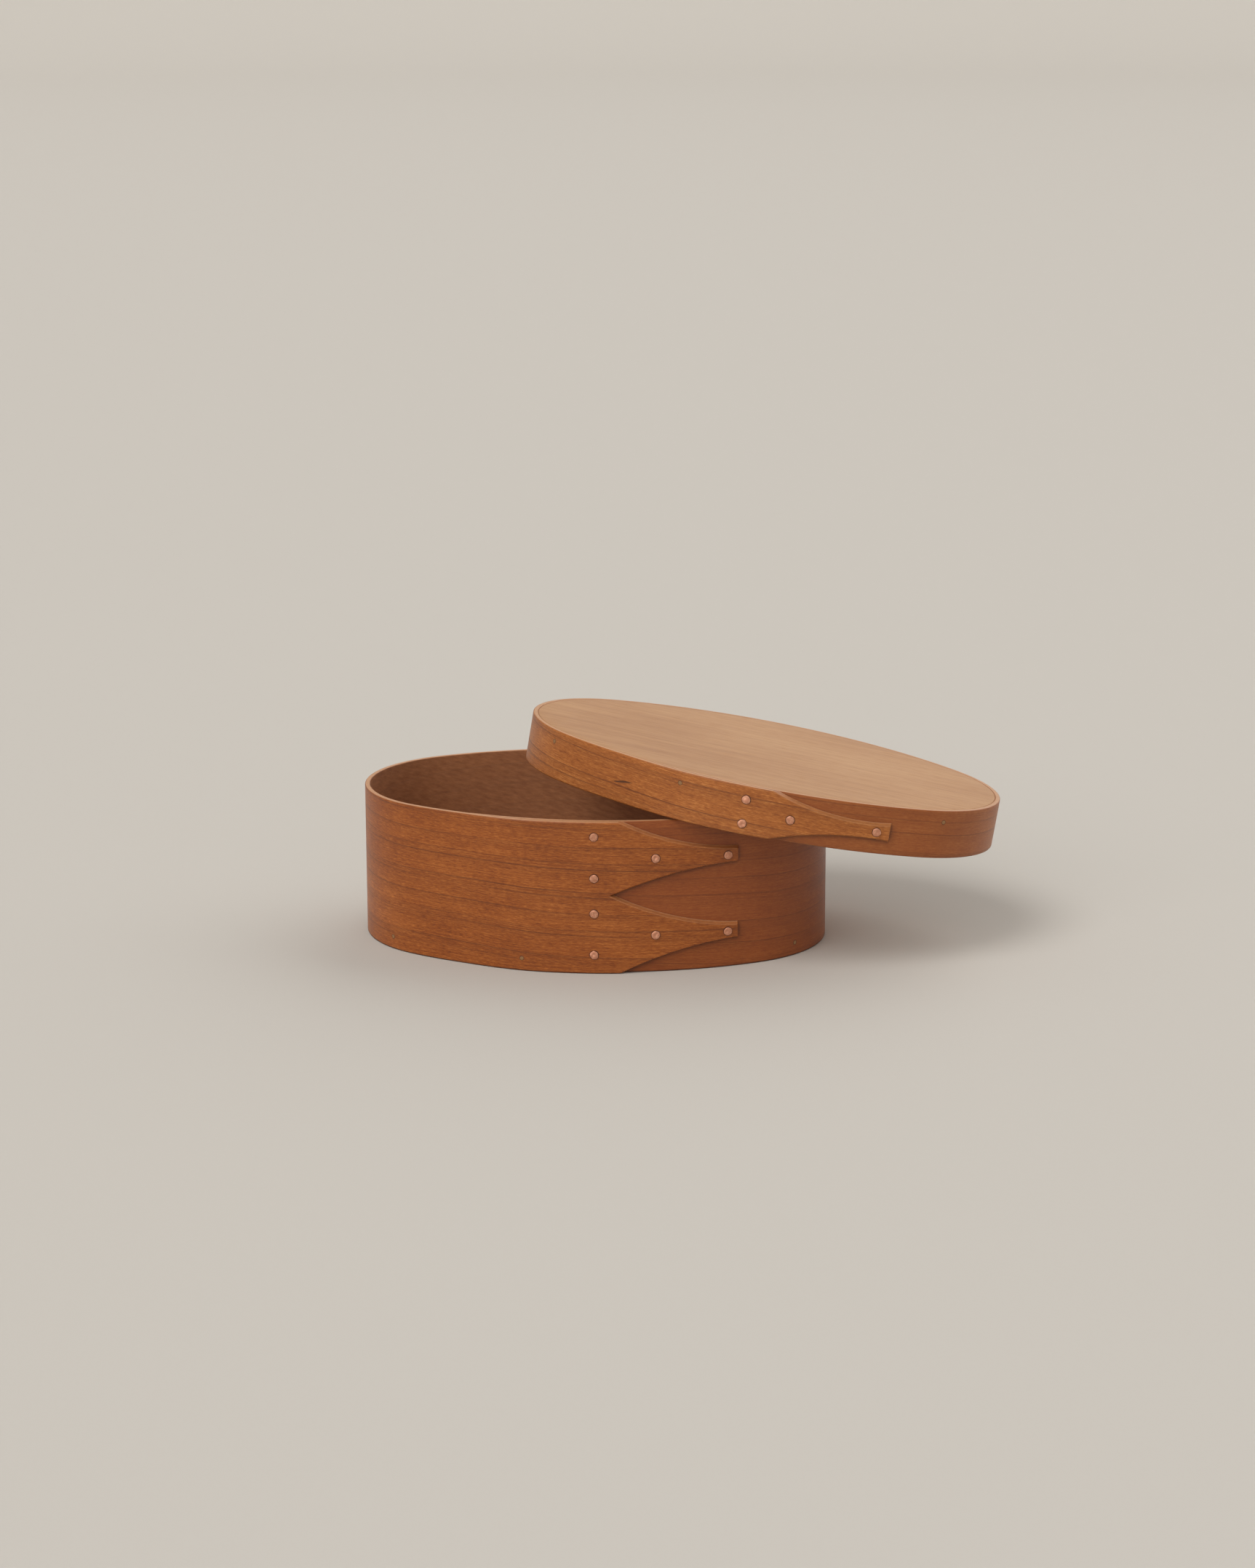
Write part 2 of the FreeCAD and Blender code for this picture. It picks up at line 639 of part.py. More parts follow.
os.makedirs("parts", exist_ok=True)
for piece, _ in pieces:
    piece.Shape.exportStep("parts/%s.step" % piece.Label)
    print("%s %.1f mm3" % (piece.Label, piece.Shape.Volume))
print("lid rests at", lid_place)
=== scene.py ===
"""Oval bentwood box with its lid leaning on the rim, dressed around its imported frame.

Lengths are metres and directions round an oval are angles from the front, -y, towards +x.
"""
import functools
import math

import bpy
import numpy as np
from mathutils import Matrix, Vector


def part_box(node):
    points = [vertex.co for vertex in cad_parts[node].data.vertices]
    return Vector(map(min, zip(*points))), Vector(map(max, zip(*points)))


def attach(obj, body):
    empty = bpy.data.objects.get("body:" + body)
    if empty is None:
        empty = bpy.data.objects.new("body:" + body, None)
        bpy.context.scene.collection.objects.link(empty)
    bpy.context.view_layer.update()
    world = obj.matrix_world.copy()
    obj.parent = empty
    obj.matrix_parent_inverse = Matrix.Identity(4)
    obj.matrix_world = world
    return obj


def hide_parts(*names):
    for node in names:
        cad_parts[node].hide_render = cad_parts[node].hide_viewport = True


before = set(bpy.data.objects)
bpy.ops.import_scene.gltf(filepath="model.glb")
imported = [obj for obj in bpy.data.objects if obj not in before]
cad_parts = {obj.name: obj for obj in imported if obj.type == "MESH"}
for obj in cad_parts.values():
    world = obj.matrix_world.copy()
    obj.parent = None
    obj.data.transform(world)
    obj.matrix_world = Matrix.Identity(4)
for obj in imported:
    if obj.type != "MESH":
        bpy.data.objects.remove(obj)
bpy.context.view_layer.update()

bl_info = {
    "name": "Oval Bentwood Box",
    "version": (1, 0, 0),
    "blender": (4, 5, 0),
    "location": "3D View > Sidebar > Oval Box",
    "description": "Builds a lapped oval box with fingers, copper tacks and a leaning lid",
    "category": "Add Mesh",
}

MM = 0.001
MERGE = 1e-8  # places closer than this are one point
UP = np.array([0.0, 0.0, 1.0])
BOX_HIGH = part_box("box_band")[1]
BOX_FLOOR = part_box("box_board")[1].z


def length(words, default):
    """Property that holds one length."""
    return bpy.props.FloatProperty(name=words.capitalize(), description=words,
                                   default=default, min=0.0, unit="LENGTH", precision=5)


def turning(words, degrees):
    """Property that holds one angle, given in degrees."""
    return bpy.props.FloatProperty(name=words.capitalize(), description=words,
                                   default=math.radians(degrees), subtype="ANGLE")


def colour(words, red, green, blue):
    """Property that holds one colour, given as a screen shows it, from 0 to 255."""
    return bpy.props.FloatVectorProperty(name=words.capitalize(), description=words,
                                         default=screen(red, green, blue), size=4,
                                         min=0.0, max=1.0, subtype="COLOR")


def screen(red, green, blue):
    """Linear colour of screen values from 0 to 255."""
    shares = [value / 255 for value in (red, green, blue)]
    return tuple(share / 12.92 if share < 0.04045 else ((share + 0.055) / 1.055) ** 2.4
                 for share in shares) + (1.0,)


class OvalBoxSizes(bpy.types.PropertyGroup):
    """Sizes of the box and the lid. The outside of the box comes from the frame."""

    end_radius: length("inside radius of the box's end arcs", 46.5 * MM)
    band_thick: length("thickness of the bent strips", 2.0 * MM)
    seam_gap: length("hairline between the layers of a lap", 0.1 * MM)
    board_gap: length("hairline between a board and its band", 0.05 * MM)
    lid_height: length("height of the lid", 18.7 * MM)
    lid_board_thick: length("thickness of the lid's top board", 8.3 * MM)
    lid_clearance: length("room between the closed lid and the box", 0.5 * MM)
    lid_shift_right: length("how far the leaning lid has slid to the right", 63.8 * MM)
    lid_shift_back: length("how far it has slid to the back", 3.4 * MM)
    lid_turn: turning("clockwise turn of the lid", 7.5)
    rest_gap: length("air kept between the leaning lid and the rim", 0.3 * MM)
    feather_from: length("left start of a strip's tapered inner end", 53.0 * MM)
    feather_to: length("left end of that taper", 15.5 * MM)
    feather_tip: length("thickness left at the tip of the taper", 0.2 * MM)
    root_at: length("where a finger's outer edge leaves the rim", 15.3 * MM)
    notch_at: length("where the box's two fingers part", 11.7 * MM)
    notch_lift: length("height of that place above mid height", 1.0 * MM)
    tip_at: length("where the fingers end", 62.0 * MM)
    finger_inset: length("middle of a box finger from the nearer rim", 14.7 * MM)
    box_tip_width: length("width of a box finger at its tip", 4.8 * MM)
    lid_tip_width: length("width of the lid's finger at its tip", 5.6 * MM)
    lid_finger_drop: length("middle of the lid's finger below half its height", 0.5 * MM)
    finger_bow: length("how far a finger's edge bows in", 2.6 * MM)
    bevel: turning("lean of the fingers' cut edges", 22.0)
    rim_round: length("rounding of the rims", 0.45 * MM)
    inner_round: length("rounding of the rims' inner arris", 0.2 * MM)
    arris_round: length("rounding along the fingers", 0.22 * MM)
    head_width: length("width of a tack's head", 3.4 * MM)
    head_thick: length("thickness of a tack's head", 0.55 * MM)
    peg_width: length("width of a peg at the outside", 1.6 * MM)
    peg_length: length("length of a peg", 11.0 * MM)


class OvalBoxColours(bpy.types.PropertyGroup):
    """Colours of the wood, the copper and the room, as a plain light shows them."""

    box_dark: colour("dark tone of the box's strip", 116, 54, 17)
    box_middle: colour("middle tone of the box's strip", 155, 82, 28)
    box_light: colour("light tone of the box's strip", 192, 115, 51)
    lid_dark: colour("dark tone of the lid's strip", 131, 68, 25)
    lid_middle: colour("middle tone of the lid's strip", 170, 98, 41)
    lid_light: colour("light tone of the lid's strip", 206, 135, 69)
    growth: colour("growth lines", 84, 40, 20)
    pore: colour("pores and flecks", 92, 48, 26)
    # Pale rim tones: sanded end grain, and partly a painted highlight along the lit rims.
    box_rim_and_highlight: colour("sanded rim of the box", 212, 160, 116)
    lid_rim_and_highlight: colour("sanded rim of the lid", 202, 150, 102)
    under: colour("redder layer under the fingers", 134, 66, 34)
    inside: colour("inside of the strips", 194, 138, 98)
    inside_dark: colour("dark figure inside the strips", 142, 90, 58)
    board_dark: colour("dark tone of the lid's board", 164, 112, 68)
    board_middle: colour("middle tone of the lid's board", 188, 139, 94)
    board_light: colour("light tone of the lid's board", 206, 160, 114)
    floor_dark: colour("dark tone of the bottom board", 122, 76, 46)
    floor_middle: colour("middle tone of the bottom board", 150, 100, 66)
    floor_light: colour("light tone of the bottom board", 172, 122, 84)
    copper: colour("hammered copper", 204, 142, 112)
    copper_worn: colour("bright worn copper", 228, 174, 142)
    copper_dark: colour("tarnish in the dents", 134, 82, 60)
    peg: colour("end grain of a peg", 152, 112, 70)
    # Also the colour of the painted contact shadow, the painted corner shade and the partly
    # painted shade round the tacks.
    stain_and_shade: colour("dark ring round a fastener", 62, 34, 20)
    paper: colour("floor and backdrop", 207, 201, 192)


class Oval:
    """Four tangent arcs: two ends of end_radius and two flatter sides.

    Side arcs have radius R = (half_width^2 + end_x^2 - end_radius^2) / 2(half_width -
    end_radius) and centres side_y = R - half_width beyond the middle, where end_x =
    half_length - end_radius. Moving the oval outwards keeps the same four centres.
    """

    def __init__(self, half_length, half_width, end_radius):
        self.end_radius = end_radius
        self.end_x = half_length - end_radius
        rise = half_width - end_radius
        self.side_y = (self.end_x ** 2 - rise ** 2) / (2 * rise)
        self.side_radius = self.side_y + half_width
        self.turn = math.atan2(self.end_x, self.side_y)

    def radius(self, angle):
        """Radius of the arc that each direction falls on."""
        return np.where(self.on_end(angle), self.end_radius, self.side_radius)

    def on_end(self, angle):
        """Whether each direction falls on one of the two end arcs."""
        return np.abs(np.sin(angle)) > math.sin(self.turn)

    def points(self, angle, offset):
        """Plan points in each direction, moved outwards: centre + (radius + offset) facing."""
        ends = self.on_end(angle)
        centre_x = np.where(ends, np.sign(np.sin(angle)) * self.end_x, 0.0)
        centre_y = np.where(ends, 0.0, np.sign(np.cos(angle)) * self.side_y)
        reach = self.radius(angle) + offset
        return centre_x + reach * np.sin(angle), centre_y - reach * np.cos(angle)


def smooth(share):
    """Rise from 0 to 1 that starts and ends level: 3 share^2 - 2 share^3."""
    share = np.clip(share, 0.0, 1.0)
    return share * share * (3 - 2 * share)


def rounding(depth, radius):
    """Drop of a quarter-round arris at a depth behind the face.

    It is r - sqrt(r^2 - (r - depth)^2) down to the depth r, and 0 below that.
    """
    left = np.clip(radius - depth, 0.0, radius)
    return radius - np.sqrt(radius ** 2 - left ** 2)


def both_ovals(sizes):
    """Inside oval of the box's strip and of the lid's strip."""
    half_length = BOX_HIGH.x - sizes.band_thick
    half_width = BOX_HIGH.y - sizes.band_thick
    grown = sizes.band_thick + sizes.lid_clearance
    box = Oval(half_length, half_width, sizes.end_radius)
    lid = Oval(half_length + grown, half_width + grown + sizes.band_thick / 2,
               sizes.end_radius + grown)
    return box, lid


def circles_meet(centre, radius, other, other_radius, side):
    """Point where two circles cross, on the side of -y or +y."""
    across = other - centre
    apart = across.length
    reach = (apart ** 2 + radius ** 2 - other_radius ** 2) / (2 * apart)
    half = math.sqrt(radius ** 2 - reach ** 2)
    base = centre + across * (reach / apart)
    step = Vector((-across.y, across.x, 0)) * (half / apart)
    return min((base + step, base - step), key=lambda spot: -side * spot.y)


def leaning_place(sizes):
    """Matrix that takes the level lid to where it leans.

    Its lower edge crosses the rim at the front and the back, and its board lies on the
    right end of the rim. The sine of the lean is the depth of the lid's hollow over the
    distance from the line of the two crossings to that end.
    """
    box, lid = both_ovals(sizes)
    shift = Vector((sizes.lid_shift_right, sizes.lid_shift_back, 0))
    turn = Matrix.Rotation(-sizes.lid_turn, 3, "Z")
    crossings = []
    for side in (-1, 1):
        box_centre = Vector((0, -side * box.side_y, 0))
        lid_centre = shift + turn @ Vector((0, -side * lid.side_y, 0))
        crossings.append(circles_meet(box_centre, box.side_radius + sizes.band_thick,
                                      lid_centre, lid.side_radius, side))
    axis = (crossings[1] - crossings[0]).normalized()
    downhill = Vector((axis.y, -axis.x, 0))
    end_reach = (Vector((box.end_x, 0, 0)) - crossings[0]).dot(downhill)
    end_reach += box.end_radius + sizes.band_thick
    lean = math.asin((sizes.lid_height - sizes.lid_board_thick) / end_reach)
    drop = math.tan(lean) * (shift - crossings[0]).dot(downhill)
    height = BOX_HIGH.z + sizes.rest_gap - drop
    turned = Matrix.Rotation(lean, 4, axis) @ Matrix.Rotation(-sizes.lid_turn, 4, "Z")
    return Matrix.Translation(shift + Vector((0, 0, height))) @ turned


def finger_circle(root, tip, bow, side):
    """Centre and radius of the circle through root and tip that bows in by bow."""
    run, rise = tip[0] - root[0], tip[1] - root[1]
    chord = math.hypot(run, rise)
    radius = (chord ** 2 / 4 + bow ** 2) / (2 * bow)
    middle = (root[0] + tip[0]) / 2 - side * rise / chord * (radius - bow)
    centre = (root[1] + tip[1]) / 2 + side * run / chord * (radius - bow)
    return middle, centre, radius


def finger_edge(along, root, tip, bow, side):
    """Height of a finger's edge at each arc length.

    The edge is part of a circle. It is followed a little way before the root, and
    further back it is far outside the strip, so that the rim or the other finger bounds
    the wood there.
    """
    lead = 8 * MM
    middle, centre, radius = finger_circle(root, tip, bow, side)
    height = centre - side * np.sqrt(np.maximum(radius ** 2 - (along - middle) ** 2, 0.0))
    return np.where(along < root[0] - lead, centre + side * radius, height)


class Strip:
    """Bent strip once round an oval, lapped over its own tapered inner end.

    It is a solid of three parameters: the direction round the oval, the share of its
    height and the share of its thickness from the outside in. Stations along it are a
    millimetre apart, and closer where the fingers part and end.
    """

    CUT = 0.45
    # Part of the mark kept along the lower edges: a painted shade, as they face away from the
    # light.
    LOWER_SHADE = 0.5

    def __init__(self, oval, tall, sizes):
        self.oval = oval
        self.tall = tall
        self.sizes = sizes
        self.thick = sizes.band_thick
        self.climb = sizes.band_thick + sizes.seam_gap
        self.lean = math.tan(sizes.bevel)
        self.layer = oval.side_radius + self.thick
        self.outside = self.layer + self.climb
        self.start = -sizes.feather_from / self.layer
        self.end = -sizes.feather_to / self.layer
        self.angles = self.stations()
        self.depths = self.levels_in()
        self.along = (self.angles - 2 * math.pi) * self.outside
        self.inner, self.outer = self.offsets()
        step = np.diff(self.angles) * (self.oval.radius(self.angles[:-1] + 1e-6)
                                       + self.outer[:-1])
        run = np.concatenate([[0.0], np.cumsum(step)])
        self.run = run - np.interp(2 * math.pi, self.angles, run)

    def stations(self):
        """Directions of the cross sections, from the tip of the taper to the finger tips."""
        sizes = self.sizes
        shares = np.linspace(0.0, 1.0, 2000)
        thickness = self.climb * smooth(shares) - sizes.seam_gap
        share = shares[np.argmax(thickness > sizes.feather_tip)]
        turn = self.oval.turn
        full = 2 * math.pi
        marks = [self.start + (self.end - self.start) * share, self.end, turn,
                 math.pi - turn, math.pi + turn, full - turn, full + self.start,
                 full + self.end, full + (sizes.notch_at - 2 * MM) / self.outside,
                 full + (sizes.root_at + 8 * MM) / self.outside,
                 full + (sizes.tip_at - 2 * MM) / self.outside,
                 full + sizes.tip_at / self.outside]
        pitches = [1.0] * 8 + [0.35, 0.8, 0.3]
        runs = []
        for low, high, pitch in zip(marks, marks[1:], pitches):
            radius = float(self.oval.radius(np.array((low + high) / 2)))
            count = max(2, round((high - low) * radius / (pitch * MM)))
            runs.append(np.linspace(low, high, count, endpoint=False))
        return np.concatenate(runs + [[marks[-1]]])

    def levels_in(self):
        """Depths behind the outside face, closer together where the arrises are round."""
        arc = self.sizes.rim_round * (1 - np.cos(np.linspace(0, math.pi / 2, 5)))
        middle = np.array([self.thick / 2])
        return np.concatenate([arc, middle, self.thick - arc[::-1]])

    def offsets(self):
        """Offsets of the inside and the outside face at each station."""
        reach = self.end - self.start
        first = smooth((self.angles - self.start) / reach)
        second = smooth((self.angles - 2 * math.pi - self.start) / reach)
        outer = np.minimum(self.climb * first - self.sizes.seam_gap, self.thick)
        return self.climb * second, outer + self.climb * second

    def cuts(self, fingers):
        """Root, tip and side of every cut edge, from the lowest up."""
        sizes = self.sizes
        notch = (sizes.notch_at, self.tall / 2 + sizes.notch_lift)
        low_root, high_root = (sizes.root_at, 0.0), (sizes.root_at, self.tall)
        roots = [low_root, high_root]
        if len(fingers) == 2:
            roots = [low_root, notch, notch, high_root]
        ends = [(axis + side * half_tip, side) for axis, half_tip in fingers
                for side in (-1, 1)]
        return [(root, (sizes.tip_at, height), side)
                for root, (height, side) in zip(roots, ends)]

    def bevelled(self, root, tip, side):
        """Heights of a bevelled finger edge, at every station and depth."""
        edge = finger_edge(self.along, root, tip, self.sizes.finger_bow, side)[:, None]
        slope = self.lean * self.depths - rounding(self.depths, self.sizes.arris_round)
        return edge + side * slope

    def block(self, low, high, low_cut, high_cut):
        """Points of the part between two edges: place, unrolled place and edge mark.

        The mark tells a sanded rim, 1, from a cut edge of a finger, CUT, and from a face,
        0. It calls up the pale rim tone, which is partly a painted highlight. Along the lower
        edge it is only a part of that, a painted shade, as the lower edges face away from the
        light. A ring of points runs near each edge, and the tips of the fingers lean as their
        sides do.
        """
        near = 0.25 * MM
        inner_shares = np.linspace(0.0, 1.0, 10)[1:-1]
        shares = np.concatenate([[0, 0], inner_shares, [1, 1]])[None, :, None]
        steps = np.zeros(shares.shape)
        steps[0, 1, 0] = near
        steps[0, -2, 0] = -near
        height = low[:, None, :] + shares * (high - low)[:, None, :] + steps
        tip_round = rounding(self.depths, self.sizes.arris_round)
        pull = smooth(1 + (self.along - self.sizes.tip_at) / (5 * MM))[:, None, None]
        angle = self.angles[:, None, None] + pull * (self.lean * self.depths - tip_round) / (
            self.outside)
        inward = self.depths / self.thick
        offset = (self.outer[:, None, None] * (1 - inward)
                  + self.inner[:, None, None] * inward)
        angle, offset, height = np.broadcast_arrays(angle, offset, height)
        across, away = self.oval.points(angle, offset)
        place = np.stack([across, away, height], axis=-1)
        run = self.run[:, None, None] + (angle - self.angles[:, None, None]) * self.outside
        unrolled = np.stack([run, height + self.depths, inward + 0 * run], axis=-1)
        mark = np.zeros(height.shape)
        near_face = np.minimum(self.depths, self.thick - self.depths)
        worn = smooth(near_face / self.sizes.rim_round)
        mark[:, -1] = np.where(high_cut[:, None], self.CUT, worn)
        mark[:, 0] = np.where(low_cut[:, None], self.CUT, worn) * self.LOWER_SHADE
        mark[-1] = 0.0
        return place, unrolled, mark

    def surface(self, fingers):
        """Closed skin of all the blocks, without the walls that two blocks share."""
        sizes = self.sizes
        rim = np.maximum(rounding(self.depths, sizes.rim_round),
                         rounding(self.thick - self.depths, sizes.inner_round))
        cuts = self.cuts(fingers)
        heights = [self.bevelled(*edge) for edge in cuts]
        lowest = np.maximum(rim, heights[0])
        highest = np.minimum(self.tall - rim, heights[-1])
        cut = self.along > sizes.root_at
        blocks = [(lowest, highest, cut, cut, None, None)]
        if len(fingers) == 2:
            lips = [finger_edge(self.along, root, tip, sizes.finger_bow, side)
                    for root, tip, side in cuts[1:3]]
            notch_at, notch_height = cuts[1][0]
            valley = np.where(self.along < notch_at, notch_height,
                              (lips[0] + lips[1]) / 2)[:, None]
            below = np.minimum(heights[1], valley)
            above = np.maximum(heights[2], valley)
            shared = (np.abs(below - valley) < 1e-9) & (np.abs(above - valley) < 1e-9)
            every = np.ones(cut.shape, dtype=bool)
            blocks = [(lowest, below, cut, every, None, shared),
                      (above, highest, every, cut, shared, None)]
        skin = Skin()
        for *sides, open_low, open_high in blocks:
            place, unrolled, mark = self.block(*sides)
            for shared_points, level in ((open_low, 0), (open_high, -1)):
                if shared_points is not None:
                    mark[:, level][shared_points] = 0.0
            skin.add_block(place, unrolled, mark, open_low, open_high)
        return skin


class Skin:
    """Points and faces of a closed mesh, gathered as arrays."""

    def __init__(self):
        self.places = []
        self.unrolled = []
        self.marks = []
        self.faces = []
        self.count = 0

    def add_points(self, place, unrolled, mark):
        """Add points and return their numbers in the shape they came in."""
        number = np.arange(mark.size).reshape(mark.shape) + self.count
        self.places.append(place.reshape(-1, 3))
        self.unrolled.append(unrolled.reshape(-1, 3))
        self.marks.append(mark.reshape(-1))
        self.count += mark.size
        return number

    def add_grid(self, number, turned=False, keep=None):
        """Add the quads of a two-way grid of point numbers.

        They face the way that the first way crossed with the second points, or are turned.
        """
        quads = np.stack([number[:-1, :-1], number[1:, :-1], number[1:, 1:],
                          number[:-1, 1:]], axis=-1)
        if turned:
            quads = quads[..., ::-1]
        self.faces.append(quads[keep] if keep is not None else quads.reshape(-1, 4))

    def add_block(self, place, unrolled, mark, open_low=None, open_high=None):
        """Add the six outer faces of a three-way grid, but not where it is open."""
        number = self.add_points(place, unrolled, mark)
        self.add_grid(number[:, :, 0])
        self.add_grid(number[:, :, -1], turned=True)
        self.add_grid(number[:, -1], keep=closed_cells(open_high))
        self.add_grid(number[:, 0], turned=True, keep=closed_cells(open_low))
        self.add_grid(number[0])
        self.add_grid(number[-1], turned=True)

    def add_turned(self, place, mark=0.0, shift=0.0):
        """Add rings that run from an upper pole outwards and down to a lower one.

        They are unrolled as seen from above, moved along the grain by shift.
        """
        mark = np.broadcast_to(mark, place.shape[:-1])
        number = self.add_points(place, place * [1, 1, 0] + [shift, 0, 0], mark)
        self.add_grid(np.concatenate([number, number[:, :1]], axis=1))

    def mesh(self, name, matrix=None):
        """Blender mesh with points that coincide merged and empty faces left out."""
        places = np.concatenate(self.places)
        _, first, number = np.unique(np.round(places / MERGE).astype(np.int64), axis=0,
                                     return_index=True, return_inverse=True)
        faces = number.reshape(-1)[np.concatenate(self.faces)]
        same = faces == np.roll(faces, -1, axis=1)
        whole = faces[same.sum(axis=1) == 0]
        pinched = same.sum(axis=1) == 1
        corners = faces[pinched][~same[pinched]].reshape(-1, 3)
        places = places[first]
        if matrix is not None:
            places = places @ np.array(matrix.to_3x3()).T + np.array(matrix.translation)
        mesh = bpy.data.meshes.new(name)
        mesh.from_pydata(places.tolist(), [], whole.tolist() + corners.tolist())
        corner_of = np.empty(len(mesh.loops), dtype=np.int32)
        mesh.loops.foreach_get("vertex_index", corner_of)
        unrolled = np.concatenate(self.unrolled)[first]
        layer = mesh.uv_layers.new(name="Unrolled")
        layer.uv.foreach_set("vector", unrolled[corner_of, :2].astype(np.float32).ravel())
        for title, values in (("depth", unrolled[:, 2]),
                              ("edge", np.concatenate(self.marks)[first])):
            attribute = mesh.attributes.new(title, "FLOAT", "POINT")
            attribute.data.foreach_set("value", values.astype(np.float32))
        mesh.polygons.foreach_set("use_smooth", np.ones(len(mesh.polygons), dtype=bool))
        mesh.update()
        return mesh


def closed_cells(shared):
    """Cells of a grid whose four corners aren't all shared."""
    if shared is None:
        return None
    return ~(shared[:-1, :-1] & shared[1:, :-1] & shared[1:, 1:] & shared[:-1, 1:])


def add_piece(mesh, body, material, nodes):
    """Object for a mesh that rides on a body and stands for some nodes."""
    piece = bpy.data.objects.new(mesh.name, mesh)
    bpy.context.scene.collection.objects.link(piece)
    piece.data.materials.append(material)
    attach(piece, body)
    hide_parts(*nodes)


def node_points(node):
    """Corners of a node's solid as an array."""
    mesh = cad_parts[node].data
    corners = np.empty(len(mesh.vertices) * 3)
    mesh.vertices.foreach_get("co", corners)
    return corners.reshape(-1, 3)


def owned_nodes(owner, kind):
    """Nodes of one kind on the box or the lid, in order."""
    start = "%s_%s_" % (owner, kind)
    names = [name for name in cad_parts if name.startswith(start)]
    return sorted(names, key=lambda name: int(name[len(start):]))


def middle_height(corners, away):
    """Height of the middle of a tack's head, which is its outermost end."""
    reach = corners @ away
    head = corners[reach > reach.max() - 0.1 * MM]
    return (head[:, 2].min() + head[:, 2].max()) / 2


def fastener_spots(owner, kind, oval, matrix):
    """Outer end and facing of each tack or peg, in its level band's frame.

    A tack faces the way its place on the front's flat arc does. A peg lies along its own
    long axis, which is the strongest direction of its corners.
    """
    inverse = np.array(matrix.inverted())
    hub = np.array([0.0, oval.side_y, 0.0])
    spots = []
    for node in owned_nodes(owner, kind):
        corners = node_points(node) @ inverse[:3, :3].T + inverse[:3, 3]
        if kind == "tack":
            away = (corners.min(axis=0) + corners.max(axis=0)) / 2 - hub
            away[2] = 0.0
            away /= np.linalg.norm(away)
            base = hub + UP * middle_height(corners, away)
        else:
            base = corners.mean(axis=0)
            away = np.linalg.svd(corners - base, full_matrices=False)[2][0]
            away *= np.sign(away @ (base * [1, 1, 0]))
        spots.append((base + away * ((corners - base) @ away).max(), away))
    return spots


def standing(place, away):
    """Matrix of a fastener: its x points up and its z out of the wall."""
    sideways = np.cross(away, UP)
    turn = np.stack([UP, sideways, away], axis=1)
    return Matrix.Translation(place) @ Matrix(turn.tolist()).to_4x4()


class Field:
    """A number, colour or vector that a node tree works out at each point."""

    def __init__(self, tree, socket):
        self.tree = tree
        self.socket = socket

    def __add__(self, other):
        return self.tree.math("ADD", self, other)

    def __sub__(self, other):
        return self.tree.math("SUBTRACT", self, other)

    def __rsub__(self, other):
        return self.tree.math("SUBTRACT", other, self)

    def __mul__(self, other):
        return self.tree.math("MULTIPLY", self, other)

    def __pow__(self, other):
        return self.tree.math("POWER", self, other)

    __radd__ = __add__
    __rmul__ = __mul__

    def swing(self, reach):
        """Noise from 0 to 1 made a swing of half reach either way."""
        return (self - 0.5) * reach


